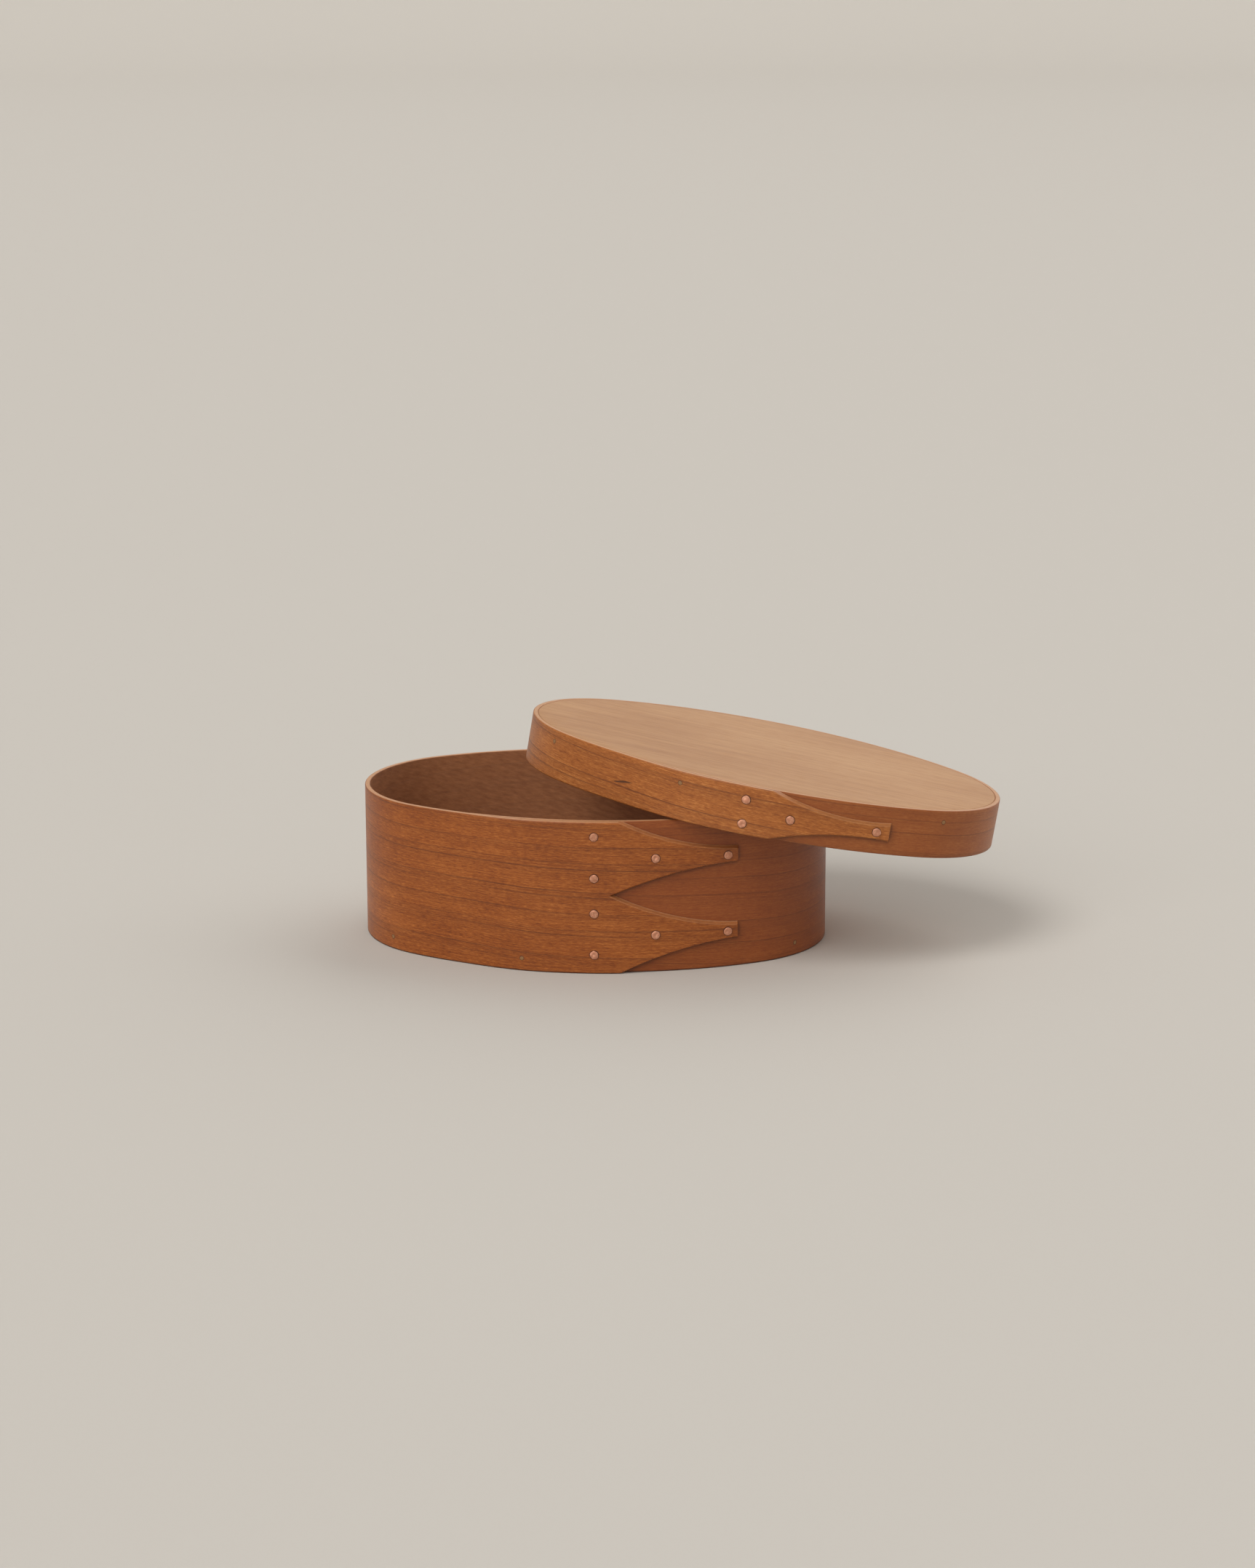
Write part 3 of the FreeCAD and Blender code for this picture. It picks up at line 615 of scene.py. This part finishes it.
class Tree:
    """Node tree of one material or world, emptied first."""

    def __init__(self, owner):
        owner.use_nodes = True
        self.owner = owner
        self.nodes = owner.node_tree.nodes
        self.links = owner.node_tree.links
        self.nodes.clear()

    def node(self, kind, settings=None, sockets=None, output=0):
        """Add a node, set its settings and then its sockets, and return one output."""
        node = self.nodes.new(kind)
        for name, value in (settings or {}).items():
            if name == "stops":
                self.set_stops(node.color_ramp, value)
            else:
                setattr(node, name, value)
        for key, value in (sockets or {}).items():
            if isinstance(value, Field):
                self.links.new(value.socket, node.inputs[key])
            else:
                node.inputs[key].default_value = value
        return Field(self, node.outputs[output]) if node.outputs else None

    def set_stops(self, ramp, stops):
        """Give a colour ramp its stops."""
        while len(ramp.elements) < len(stops):
            ramp.elements.new(1.0)
        for element, (position, tone) in zip(ramp.elements, stops):
            element.position = position
            element.color = tone

    def math(self, operation, *values):
        """One Math node."""
        return self.node("ShaderNodeMath", {"operation": operation},
                         dict(enumerate(values)))

    def most(self, *values):
        """Greatest of several numbers."""
        return functools.reduce(functools.partial(self.math, "MAXIMUM"), values)

    def least(self, *values):
        """Least of several numbers."""
        return functools.reduce(functools.partial(self.math, "MINIMUM"), values)

    def ramp(self, value, tones, places=(0.2, 0.5, 0.8)):
        """Colour ramp with one tone at each place."""
        return self.node("ShaderNodeValToRGB", {"stops": list(zip(places, tones))}, {0: value})

    def mix(self, share, first, second):
        """Mix of two colours."""
        return self.node("ShaderNodeMix", {"data_type": "RGBA"},
                         {0: share, 6: first, 7: second}, output=2)

    def step(self, value, low, high):
        """Soft step from 0 at low to 1 at high."""
        return self.node("ShaderNodeMapRange", {"interpolation_type": "SMOOTHSTEP"},
                         {"Value": value, "From Min": low, "From Max": high})

    def fall(self, value, low, high):
        """Soft step from 1 at low to 0 at high."""
        return 1 - self.step(value, low, high)

    def band(self, value, low, rise, fall, high):
        """1 from rise to fall, with soft steps from 0 at low and to 0 at high."""
        return self.step(value, low, rise) * self.fall(value, fall, high)

    def noise(self, across, up, layer=0.0, detail=2.0, roughness=0.5, distortion=0.0):
        """Cloudy noise from 0 to 1 at a plan place that is already scaled."""
        place = self.node("ShaderNodeCombineXYZ", None, {0: across, 1: up, 2: layer})
        return self.node("ShaderNodeTexNoise", None,
                         {"Vector": place, "Scale": 1.0, "Detail": detail,
                          "Roughness": roughness, "Distortion": distortion})

    def unrolled(self):
        """Place along the grain and across it, in metres."""
        place = self.node("ShaderNodeUVMap", {"uv_map": "Unrolled"})
        return [self.node("ShaderNodeSeparateXYZ", None, {0: place}, output=way)
                for way in (0, 1)]

    def attribute(self, name):
        """One of the mesh's own values."""
        return self.node("ShaderNodeAttribute", {"attribute_name": name}, output=2)

    def bump(self, height, strength, distance):
        """Normal of a bumpy surface."""
        return self.node("ShaderNodeBump", None, {"Height": height, "Strength": strength,
                                                  "Distance": distance})

    def finish(self, sockets):
        """End a material with a Principled shader, and return it."""
        shader = self.node("ShaderNodeBsdfPrincipled", None, sockets)
        self.node("ShaderNodeOutputMaterial", None, {"Surface": shader})
        return self.owner


def distance(run, rise):
    """Length of a step along and across the grain."""
    return (run * run + rise * rise) ** 0.5


def near_spots(tree, along, across, spots, inner, outer):
    """1 within inner of any spot, falling to 0 at outer."""
    reaches = [distance(along - run, across - height) for run, height in spots]
    return tree.fall(tree.least(*reaches), inner, outer)


def growth_lines(tree, along, level, spacing, phase, seed):
    """Late wood of the growth rings: a soft dark band that ends in a thin sharp line."""
    share = tree.math("FRACT", level * (1 / spacing) + phase)
    strength = tree.step(tree.noise(along * 14, level * 90, seed, detail=1.0), 0.3, 0.65)
    band = tree.band(share, 0.45, 0.97, 0.97, 1.0)
    line = tree.band(share, 0.915, 0.96, 0.972, 1.0)
    return band * 0.14 + line * strength * 0.5


def finger_shade(tree, along, across, strip, fingers):
    """Painted shade in the corner between the fingers and the layer they lie on, and just past
    their tips.

    A place on that layer is turned into the fingers' own arc length. Its distance from a
    cut edge is the radius of the edge's circle less the distance from the centre. The
    band is wider below a finger than above it, as a painted shadow cast downwards by the
    finger.
    """
    sizes = strip.sizes
    start = float(np.interp(0.0, strip.angles, strip.run))
    near = (along - start) * (strip.outside / strip.layer)
    bands = []
    for root, tip, side in strip.cuts(fingers):
        middle, centre, radius = finger_circle(root, tip, sizes.finger_bow, side)
        wide = (1.1 if side > 0 else 2.6) * MM
        bands.append(tree.band(distance(near - middle, across - centre), radius - wide,
                               radius, radius + 1.0 * MM, radius + 1.8 * MM))
    sides = tree.most(*bands) * tree.band(near, sizes.notch_at - 2 * MM, sizes.notch_at,
                                          sizes.tip_at, sizes.tip_at + 1.5 * MM)
    end = tree.band(near, sizes.tip_at - 2 * MM, sizes.tip_at, sizes.tip_at,
                    sizes.tip_at + 2.4 * MM)
    soft = 0.8 * MM
    ends = [end * tree.fall(tree.math("ABSOLUTE", across - axis), half_tip - soft,
                            half_tip + soft) for axis, half_tip in fingers]
    return tree.most(sides, *ends)


def tones_of(colours, kind):
    """Dark, middle and light tone of one kind of wood."""
    return [getattr(colours, kind + end) for end in ("_dark", "_middle", "_light")]


def strip_wood(owner, colours, rim, strip, fingers, tacks, pegs, shift, phase, foot, fleck):
    """Oiled cherry on a bent strip: growth lines, fibres, pores, ripple, sanded rims partly
    painted as a highlight, and painted shade.

    The noises are taken at layer shift and above, and phase moves the growth lines. Foot
    is how dark the painted contact shadow along the lowest edge is, and fleck is the place
    of a gum fleck, or None. The first part of the strip, which runs out under the fingers,
    is calmer and redder.
    """
    tree = Tree(bpy.data.materials.new(owner + "_strip_wood"))
    along, across = tree.unrolled()
    drift = tree.noise(along * 9, across * 12, shift, detail=1.0)
    waver = tree.noise(along * 60, across * 90, shift + 1)
    level = across + along * 0.03 + drift.swing(6.0 * MM) + waver.swing(0.5 * MM)
    close = growth_lines(tree, along, level, 8.6 * MM, phase, shift + 8)
    wide = growth_lines(tree, along, level, 13.1 * MM, phase + 0.45, shift + 12)
    lines = tree.most(close, wide * 0.75)
    streak = tree.noise(along * 48, level * 1600, shift + 2, detail=3.0, roughness=0.7)
    fibre = tree.noise(along * 420, level * 3000, shift + 3, detail=3.0, roughness=0.7)
    pores = tree.step(tree.noise(along * 700, across * 4200, shift + 4, detail=1.0), 0.6, 0.76)
    ripple = tree.noise(along * 130 + across * 60, across * 240, shift + 5, distortion=0.8)
    cloud = tree.noise(along * 20, across * 34, shift + 6, detail=3.0, roughness=0.6)
    behind = tree.step(tree.attribute("depth"), 0.5, 1.0)
    figure = tree.noise(along * 150 + across * 240, across * 700 - along * 260, shift + 7,
                        detail=3.0, roughness=0.6)
    calm_from, calm_to = -330 * MM, -400 * MM
    calm = tree.step(along, calm_from, calm_to)
    grain = streak.swing(0.7) + ripple.swing(0.22) + fibre.swing(1.1)
    tone = (0.5 + cloud.swing(0.35) + grain * (1 - calm * 0.25)
            + figure.swing(0.9) * behind)
    shade = tree.mix(calm * 0.45, tree.ramp(tone, tones_of(colours, owner)), colours.under)
    shade = tree.mix(lines * (1 - calm * 0.3), shade, colours.growth)
    shade = tree.mix(pores * 0.3, shade, colours.pore)
    within = tree.mix(figure, colours.inside_dark, colours.inside)
    shade = tree.mix(behind * 0.75, shade, within)
    # Rim tone on rims and cut edges: sanded end grain, and partly a painted highlight.
    sanded_and_highlight = tree.step(tree.attribute("edge"), 0.15, 1.0)
    shade = tree.mix(sanded_and_highlight * (0.75 + fibre.swing(0.8)), shade, rim)
    head, peg = strip.sizes.head_width / 2, strip.sizes.peg_width / 2
    # The ring round each tack head is oxidised wood, and partly a painted shade of the gap
    # under the head.
    tack_ring_and_shade = near_spots(tree, along, across, tacks, head - 0.04 * MM, head + 0.3 * MM)
    round_pegs = near_spots(tree, along, across, pegs, peg - 0.02 * MM, peg + 0.35 * MM)
    # Painted shade in the corners by the fingers and past their tips.
    painted_corner_shade = finger_shade(tree, along, across, strip, fingers)
    stains_and_shade = [tree.most(tack_ring_and_shade * 0.85, round_pegs * 0.6),
              # painted contact shadow along the lowest edge
              tree.fall(across, 0.1 * MM, 0.9 * MM) * foot,
              painted_corner_shade * (1 - behind) * (1 - sanded_and_highlight) * 0.6]
    if fleck is not None:
        run = tree.math("ABSOLUTE", along - fleck[0])
        rise = tree.math("ABSOLUTE", across - fleck[1] - (along - fleck[0]) * 0.17
                         + waver.swing(1.2 * MM))
        stains_and_shade.append(tree.fall(run, 2.8 * MM, 5.0 * MM)
                      * tree.fall(rise + run * 0.05, 0.25 * MM, 0.6 * MM) * 0.85)
    for mask in stains_and_shade:
        shade = tree.mix(mask, shade, colours.stain_and_shade)
    height = streak * 0.4 + fibre * 0.6 - pores * 0.5 + figure * behind * 0.6
    return tree.finish({"Base Color": shade,
                        "Roughness": 0.4 + streak.swing(0.14) + pores * 0.1 + behind * 0.2,
                        "Specular IOR Level": 0.4,
                        "Normal": tree.bump(height, 0.3, 0.12 * MM)})


def board_wood(name, shift, tones):
    """Straight-grained board: long fine lines along x, small dashes and soft bands."""
    tree = Tree(bpy.data.materials.new(name))
    along, across = tree.unrolled()
    drift = tree.noise(along * 7, across * 12, shift, detail=1.0)
    level = across + drift.swing(5 * MM)
    bands = tree.noise(along * 4, level * 200, shift + 1, detail=4.0, roughness=0.7)
    lines = tree.noise(along * 34, level * 1300, shift + 2, detail=3.0, roughness=0.7)
    dashes = tree.step(tree.noise(along * 130, across * 2200, shift + 3, detail=1.0),
                       0.54, 0.7)
    cloud = tree.noise(along * 12, across * 16, shift + 4)
    tone = 0.5 + bands.swing(0.5) + lines.swing(0.75) + cloud.swing(0.5)
    shade = tree.mix(dashes * 0.32, tree.ramp(tone, tones, (0.2, 0.5, 0.82)), tones[0])
    return tree.finish({"Base Color": shade,
                        "Roughness": 0.5 + lines.swing(0.14) + dashes * 0.08,
                        "Specular IOR Level": 0.25,
                        "Normal": tree.bump(lines - dashes * 0.6, 0.2, 0.1 * MM)})


def hammered_copper(colours):
    """Copper dulled in its dents and bright where the hammer last touched."""
    tree = Tree(bpy.data.materials.new("hammered_copper"))
    along, across = tree.unrolled()
    cloud = tree.noise(along * 900, across * 900, detail=3.0)
    scratch = tree.noise(along * 6000, across * 900, 3.0)
    shade = tree.mix(tree.step(cloud, 0.45, 0.75), colours.copper, colours.copper_worn)
    shade = tree.mix(tree.attribute("edge") * 0.85, shade, colours.copper_dark)
    return tree.finish({"Base Color": shade, "Metallic": 0.7,
                        "Roughness": 0.42 + cloud * 0.2 + scratch * 0.1,
                        "Normal": tree.bump(scratch + cloud, 0.3, 0.05 * MM)})


def peg_wood(colours):
    """End grain of a pale peg, darkened by oil and with small pores."""
    tree = Tree(bpy.data.materials.new("peg_wood"))
    along, across = tree.unrolled()
    pores = tree.step(tree.noise(along * 4000, across * 4000), 0.5, 0.65)
    shade = tree.mix(pores * 0.35, colours.peg, colours.stain_and_shade)
    shade = tree.mix(tree.attribute("edge") * 0.5, shade, colours.stain_and_shade)
    return tree.finish({"Base Color": shade, "Roughness": 0.6 - pores * 0.1,
                        "Specular IOR Level": 0.4,
                        "Normal": tree.bump(pores, 0.3, 0.05 * MM)})


def both_halves(sizes):
    """Name, inside oval and place of the box and of the lid."""
    box, lid = both_ovals(sizes)
    return ("box", box, Matrix()), ("lid", lid, leaning_place(sizes))


def spots_unrolled(spots, strip, lapped):
    """Run and height of each spot on the unrolled strip. A lapped spot is on the fingers."""
    places = []
    for place, away in spots:
        angle = math.atan2(away[0], -away[1])
        if lapped or angle < 0:
            angle += 2 * math.pi
        places.append((float(np.interp(angle, strip.angles, strip.run)), float(place[2])))
    return places


def turned(radius, angle, height):
    """Points of a shape turned about z."""
    across, away = radius * np.cos(angle), radius * np.sin(angle)
    return np.stack(np.broadcast_arrays(across, away, height), axis=-1)


def blunt(value):
    """Keep the sign and take the 0.6th power, which squares off a cosine."""
    return np.sign(value) * np.abs(value) ** 0.6


def tack_skin(number, sizes):
    """Hammered head, shank and clinched point.

    The head is turned about z: its radius wavers with the angle as a short sum of sines,
    and its top falls off as 1 - share^4, less a few soft dents. The clinched point is a
    flattened blob: cosines to the power 0.6 in all three ways.
    """
    dice = np.random.default_rng(100 + number)
    angle = np.linspace(0, 2 * math.pi, 40, endpoint=False)
    waver = np.ones(angle.shape)
    for wave, share in ((2, 0.035), (3, 0.03), (5, 0.022), (7, 0.014)):
        waver += share * dice.uniform(0.4, 1.0) * np.sin(
            wave * angle + dice.uniform(0, 2 * math.pi))
    rows = np.concatenate([np.linspace(0.0, 0.8, 9), [0.88, 0.95, 0.985, 1.0]])
    head = sizes.head_width / 2 * 0.95
    thick = sizes.head_thick
    radius = rows[:, None] * head * waver
    height = thick * (0.45 + 0.55 * (1 - rows[:, None] ** 4)) + 0 * waver
    across, up = radius * np.cos(angle), radius * np.sin(angle)
    dents = 6
    for _ in range(dents):
        reach, turn = head * dice.uniform(0.1, 0.85), dice.uniform(0, 2 * math.pi)
        far = ((across - reach * math.cos(turn)) ** 2 + (up - reach * math.sin(turn)) ** 2)
        depth = dice.uniform(0.04, 0.12) * MM
        height -= depth * np.exp(-far / (dice.uniform(0.4, 0.7) * MM) ** 2)
    height += across * dice.uniform(-0.1, 0.1) + up * dice.uniform(-0.1, 0.1)
    shank = 0.5 * MM
    foot = -(2 * sizes.band_thick + sizes.seam_gap) - 0.2 * MM
    below = np.array([(head * 0.97, 0.04 * MM), (head * 0.9, 0.0), (shank, 0.0),
                      (shank, foot), (0.0, foot)])
    below_radius = below[:, :1] * waver
    below_height = below[:, 1:] + 0 * waver
    radius = np.concatenate([radius, below_radius])
    height = np.concatenate([np.maximum(height, 0.08 * MM), below_height])
    mark = np.zeros(height.shape)
    mark[len(rows) - 1:] = 1.0
    skin = Skin()
    skin.add_turned(turned(radius, angle, height), mark, number * 7 * MM)
    turn, lift = np.meshgrid(np.linspace(0, 2 * math.pi, 24, endpoint=False),
                             np.linspace(math.pi / 2, -math.pi / 2, 13))
    middle, half_long, half_wide, half_thick = 0.55 * MM, 1.05 * MM, 0.55 * MM, 0.16 * MM
    along = blunt(np.cos(lift)) * blunt(np.cos(turn))
    taper = 1 - 0.35 * (along + 1) / 2
    point = np.stack([middle + half_long * along,
                      half_wide * blunt(np.cos(lift)) * blunt(np.sin(turn)) * taper,
                      foot + half_thick * blunt(np.sin(lift)) * taper], axis=-1)
    skin.add_turned(point, 0.3)
    return skin


def peg_skin(number, sizes):
    """Whittled peg turned about z: a slightly wavering outline, a soft end and a taper."""
    dice = np.random.default_rng(300 + number)
    angle = np.linspace(0, 2 * math.pi, 28, endpoint=False)
    waver = 1 + 0.05 * np.sin(2 * angle + dice.uniform(0, 6)) + 0.03 * np.sin(
        5 * angle + dice.uniform(0, 6))
    half = sizes.peg_width / 2 * 0.93
    length = sizes.peg_length / MM
    rows = np.array([(0.0, 0.05), (0.5, 0.05), (0.85, 0.045), (0.96, 0.03), (1.0, 0.0),
                     (0.98, -0.5), (0.72, 2.0 - length), (0.65, 0.4 - length),
                     (0.5, 0.1 - length), (0.0, 0.05 - length)])
    mark = np.zeros((len(rows), 1))
    mark[3:5] = 1.0
    skin = Skin()
    skin.add_turned(turned(rows[:, :1] * half * waver, angle, rows[:, 1:] * MM), mark,
                    number * 5 * MM)
    return skin


def board_skin(oval, thick, sizes, outer_up):
    """Flat board: rings of the oval shrunk to its middle, a round arris and a chamfer."""
    angle = np.linspace(0, 2 * math.pi, 360, endpoint=False)
    arris = 0.18 * MM
    chamfer = 0.6 * MM
    shares = np.linspace(0.0, 1.0, 14)
    rows = [(share, arris, thick) for share in shares]
    for turn in np.linspace(0, math.pi / 2, 5)[1:]:
        rows.append((1.0, arris * (1 - math.sin(turn)), thick - arris * (1 - math.cos(turn))))
    rows += [(1.0, 0.0, thick / 2), (1.0, 0.0, chamfer), (1.0, chamfer, 0.0)]
    rows += [(share, chamfer, 0.0) for share in shares[::-1][1:]]
    share, inset, height = (np.array(column)[:, None] for column in zip(*rows))
    across, away = oval.points(angle, -sizes.board_gap - inset)
    across, away = across * share, away * share
    height = height + 0 * across
    if not outer_up:
        height = thick - height
        across, away, height = across[::-1], away[::-1], height[::-1]
    skin = Skin()
    skin.add_turned(np.stack([across, away, height], axis=-1))
    return skin


def drive(kind, skin_of, sizes, sunk, ending, material):
    """Put every tack or peg of the box and the lid in its place, sunk below its end."""
    count = 0
    for owner, oval, place in both_halves(sizes):
        spots = fastener_spots(owner, kind, oval, place)
        for node, (spot, away) in zip(owned_nodes(owner, kind), spots):
            count += 1
            seat = place @ standing(spot - away * sunk, away)
            mesh = skin_of(count, sizes).mesh(node + ending, seat)
            add_piece(mesh, owner, material, [node])


class StageOperator(bpy.types.Operator):
    """Set the camera, the lamps, the world and a plain pale floor with a soft cove"""

    bl_idname = "oval_box.stage"
    bl_label = "Stage and Camera"

    def execute(self, context):
        colours = context.scene.oval_box_colours
        self.add_paper(colours)
        self.add_camera(context)
        self.add_lamps(context)
        context.scene.view_settings.view_transform = "Standard"
        return {"FINISHED"}

    def add_paper(self, colours):
        """Round floor that turns up into a low wall, so that it looks alike all round.

        Its profile is flat to flat_reach, a quarter circle of radius bend and a wall.
        """
        flat_reach, bend, wall_top = 7.0, 2.4, 2.4
        turn = np.linspace(0, math.pi / 2, 24)
        reach = np.concatenate([np.linspace(0.0, flat_reach, 12)[:-1],
                                flat_reach + bend * np.sin(turn), [flat_reach + bend]])
        height = np.concatenate([np.zeros(11), bend * (1 - np.cos(turn)), [wall_top]])
        angle = np.linspace(0, 2 * math.pi, 96, endpoint=False)
        skin = Skin()
        skin.add_turned(turned(reach[:, None], angle, height[:, None]))
        mesh = skin.mesh("paper_bowl")
        bowl = bpy.data.objects.new("paper_bowl", mesh)
        bpy.context.scene.collection.objects.link(bowl)
        tree = Tree(bpy.data.materials.new("paper"))
        spot = tree.node("ShaderNodeTexCoord", output=3)
        grain = tree.node("ShaderNodeTexNoise", None, {"Vector": spot, "Scale": 700.0,
                                                       "Detail": 2.0})
        tone = tree.mix(grain * 0.03, colours.paper, screen(150, 144, 136))
        mesh.materials.append(tree.finish({"Base Color": tone, "Roughness": 0.95,
                                           "Specular IOR Level": 0.1}))

    def add_camera(self, context):
        """Camera of the photograph, turned with the box's own small turn.

        Its focus is in pixels of a picture of that height.
        """
        pitch, roll, yaw = math.radians(13.80), math.radians(0.11), math.radians(5.466)
        distance = 1432.65 * MM
        aim = Vector((12.717 * MM, 0.0, 59.104 * MM))
        spin = Matrix.Rotation(yaw, 4, "Z")
        back = Vector((0.0, -math.cos(pitch), math.sin(pitch)))
        focus, picture_height, sensor = 5000.5, 2156, 36.0
        camera = bpy.data.cameras.new("camera")
        camera.sensor_fit = "VERTICAL"
        camera.sensor_width = camera.sensor_height = sensor
        camera.lens = sensor * focus / picture_height
        camera.clip_start = 0.05
        camera.clip_end = 50.0
        holder = bpy.data.objects.new("camera", camera)
        holder.matrix_world = (spin @ Matrix.Translation(aim + back * distance)
                               @ Matrix.Rotation(math.pi / 2 - pitch, 4, "X")
                               @ Matrix.Rotation(-roll, 4, "Z"))
        context.scene.collection.objects.link(holder)
        context.scene.camera = holder

    def add_lamps(self, context):
        """A soft key from the upper left, broad low lamps in front and behind, and a room
        whose strength falls a little with the height of the direction."""
        for name, toward, angle, energy in (
                ("key", (-0.34, -0.46, 0.82), 28, 1.05),
                ("front", (-0.34, -0.87, 0.38), 50, 1.1),
                ("back", (0.66, 0.64, 0.37), 90, 1.75)):
            lamp = bpy.data.lights.new(name, "SUN")
            lamp.angle = math.radians(angle)
            lamp.energy = energy
            holder = bpy.data.objects.new(name, lamp)
            holder.location = Vector(toward) * 3
            holder.rotation_euler = Vector(toward).to_track_quat("Z", "Y").to_euler()
            context.scene.collection.objects.link(holder)
        world = bpy.data.worlds.new("room")
        tree = Tree(world)
        spot = tree.node("ShaderNodeTexCoord", output=0)
        height = tree.node("ShaderNodeSeparateXYZ", None, {0: spot}, output=2)
        strength = tree.node("ShaderNodeMapRange", None, {
            "Value": height, "From Min": 0.0, "From Max": 1.0, "To Min": 0.38, "To Max": 0.35})
        shader = tree.node("ShaderNodeBackground", None, {
            "Color": (1.0, 0.985, 0.965, 1.0), "Strength": strength})
        tree.node("ShaderNodeOutputWorld", None, {"Surface": shader})
        context.scene.world = world


class BandsOperator(bpy.types.Operator):
    """Bend the two strips: the box's with two fingers and the lid's with one"""

    bl_idname = "oval_box.bands"
    bl_label = "Bent Strips"

    def execute(self, context):
        sizes = context.scene.oval_box_sizes
        colours = context.scene.oval_box_colours
        tall, half_tip = BOX_HIGH.z, sizes.box_tip_width / 2
        box_fingers = [(sizes.finger_inset, half_tip), (tall - sizes.finger_inset, half_tip)]
        lid_fingers = [(sizes.lid_height / 2 - sizes.lid_finger_drop,
                        sizes.lid_tip_width / 2)]
        fleck = (-45 * MM, 8.1 * MM)
        # Each look: height, fingers, rim tone (partly a painted highlight), noise layer, line
        # phase, strength of the painted contact shadow, and fleck.
        looks = ((tall, box_fingers, colours.box_rim_and_highlight, 3.0, 0.2, 0.95, None),
                 (sizes.lid_height, lid_fingers, colours.lid_rim_and_highlight, 41.0, 0.4, 0.2, fleck))
        for (owner, oval, place), (height, fingers, rim, *figure) in zip(
                both_halves(sizes), looks):
            strip = Strip(oval, height, sizes)
            tacks = spots_unrolled(fastener_spots(owner, "tack", oval, place), strip, True)
            pegs = spots_unrolled(fastener_spots(owner, "peg", oval, place), strip, False)
            wood = strip_wood(owner, colours, rim, strip, fingers, tacks, pegs, *figure)
            mesh = strip.surface(fingers).mesh(owner + "_strip", place)
            add_piece(mesh, owner, wood, [owner + "_band"])
        return {"FINISHED"}


class BoardsOperator(bpy.types.Operator):
    """Set the bottom board into the box and the top board into the lid"""

    bl_idname = "oval_box.boards"
    bl_label = "Boards"

    def execute(self, context):
        sizes = context.scene.oval_box_sizes
        colours = context.scene.oval_box_colours
        box_oval, lid_oval = both_ovals(sizes)
        floor = board_skin(box_oval, BOX_FLOOR, sizes, False)
        wood = board_wood("box_board_wood", 17.0, tones_of(colours, "floor"))
        add_piece(floor.mesh("box_floor"), "box", wood, ["box_board"])
        lift = Matrix.Translation((0, 0, sizes.lid_height - sizes.lid_board_thick))
        top = board_skin(lid_oval, sizes.lid_board_thick, sizes, True)
        wood = board_wood("lid_board_wood", 29.0, tones_of(colours, "board"))
        add_piece(top.mesh("lid_top", leaning_place(sizes) @ lift), "lid",
                  wood, ["lid_board"])
        return {"FINISHED"}


class TacksOperator(bpy.types.Operator):
    """Drive the copper tacks and clinch their points"""

    bl_idname = "oval_box.tacks"
    bl_label = "Copper Tacks"

    def execute(self, context):
        sizes = context.scene.oval_box_sizes
        copper = hammered_copper(context.scene.oval_box_colours)
        drive("tack", tack_skin, sizes, sizes.head_thick, "_copper", copper)
        return {"FINISHED"}


class PegsOperator(bpy.types.Operator):
    """Drive the whittled pegs that hold the strips to the boards"""

    bl_idname = "oval_box.pegs"
    bl_label = "Wooden Pegs"

    def execute(self, context):
        wood = peg_wood(context.scene.oval_box_colours)
        drive("peg", peg_skin, context.scene.oval_box_sizes, 0.0, "_wood", wood)
        return {"FINISHED"}


class OvalBoxPanel(bpy.types.Panel):
    """Lists the steps that build the box"""

    bl_idname = "VIEW3D_PT_oval_box"
    bl_label = "Oval Box"
    bl_space_type = "VIEW_3D"
    bl_region_type = "UI"
    bl_category = "Oval Box"

    def draw(self, context):
        for operator in OPERATORS:
            self.layout.operator(operator.bl_idname)


OPERATORS = (StageOperator, BandsOperator, BoardsOperator, TacksOperator, PegsOperator)
CLASSES = (OvalBoxSizes, OvalBoxColours) + OPERATORS + (OvalBoxPanel,)


def register():
    for item in CLASSES:
        bpy.utils.register_class(item)
    bpy.types.Scene.oval_box_sizes = bpy.props.PointerProperty(type=OvalBoxSizes)
    bpy.types.Scene.oval_box_colours = bpy.props.PointerProperty(type=OvalBoxColours)


def unregister():
    del bpy.types.Scene.oval_box_colours
    del bpy.types.Scene.oval_box_sizes
    for item in reversed(CLASSES):
        bpy.utils.unregister_class(item)


def main():
    """Register the add-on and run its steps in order."""
    register()
    bpy.ops.oval_box.stage()
    bpy.ops.oval_box.bands()
    bpy.ops.oval_box.boards()
    bpy.ops.oval_box.tacks()
    bpy.ops.oval_box.pegs()


if __name__ == "__main__":
    main()
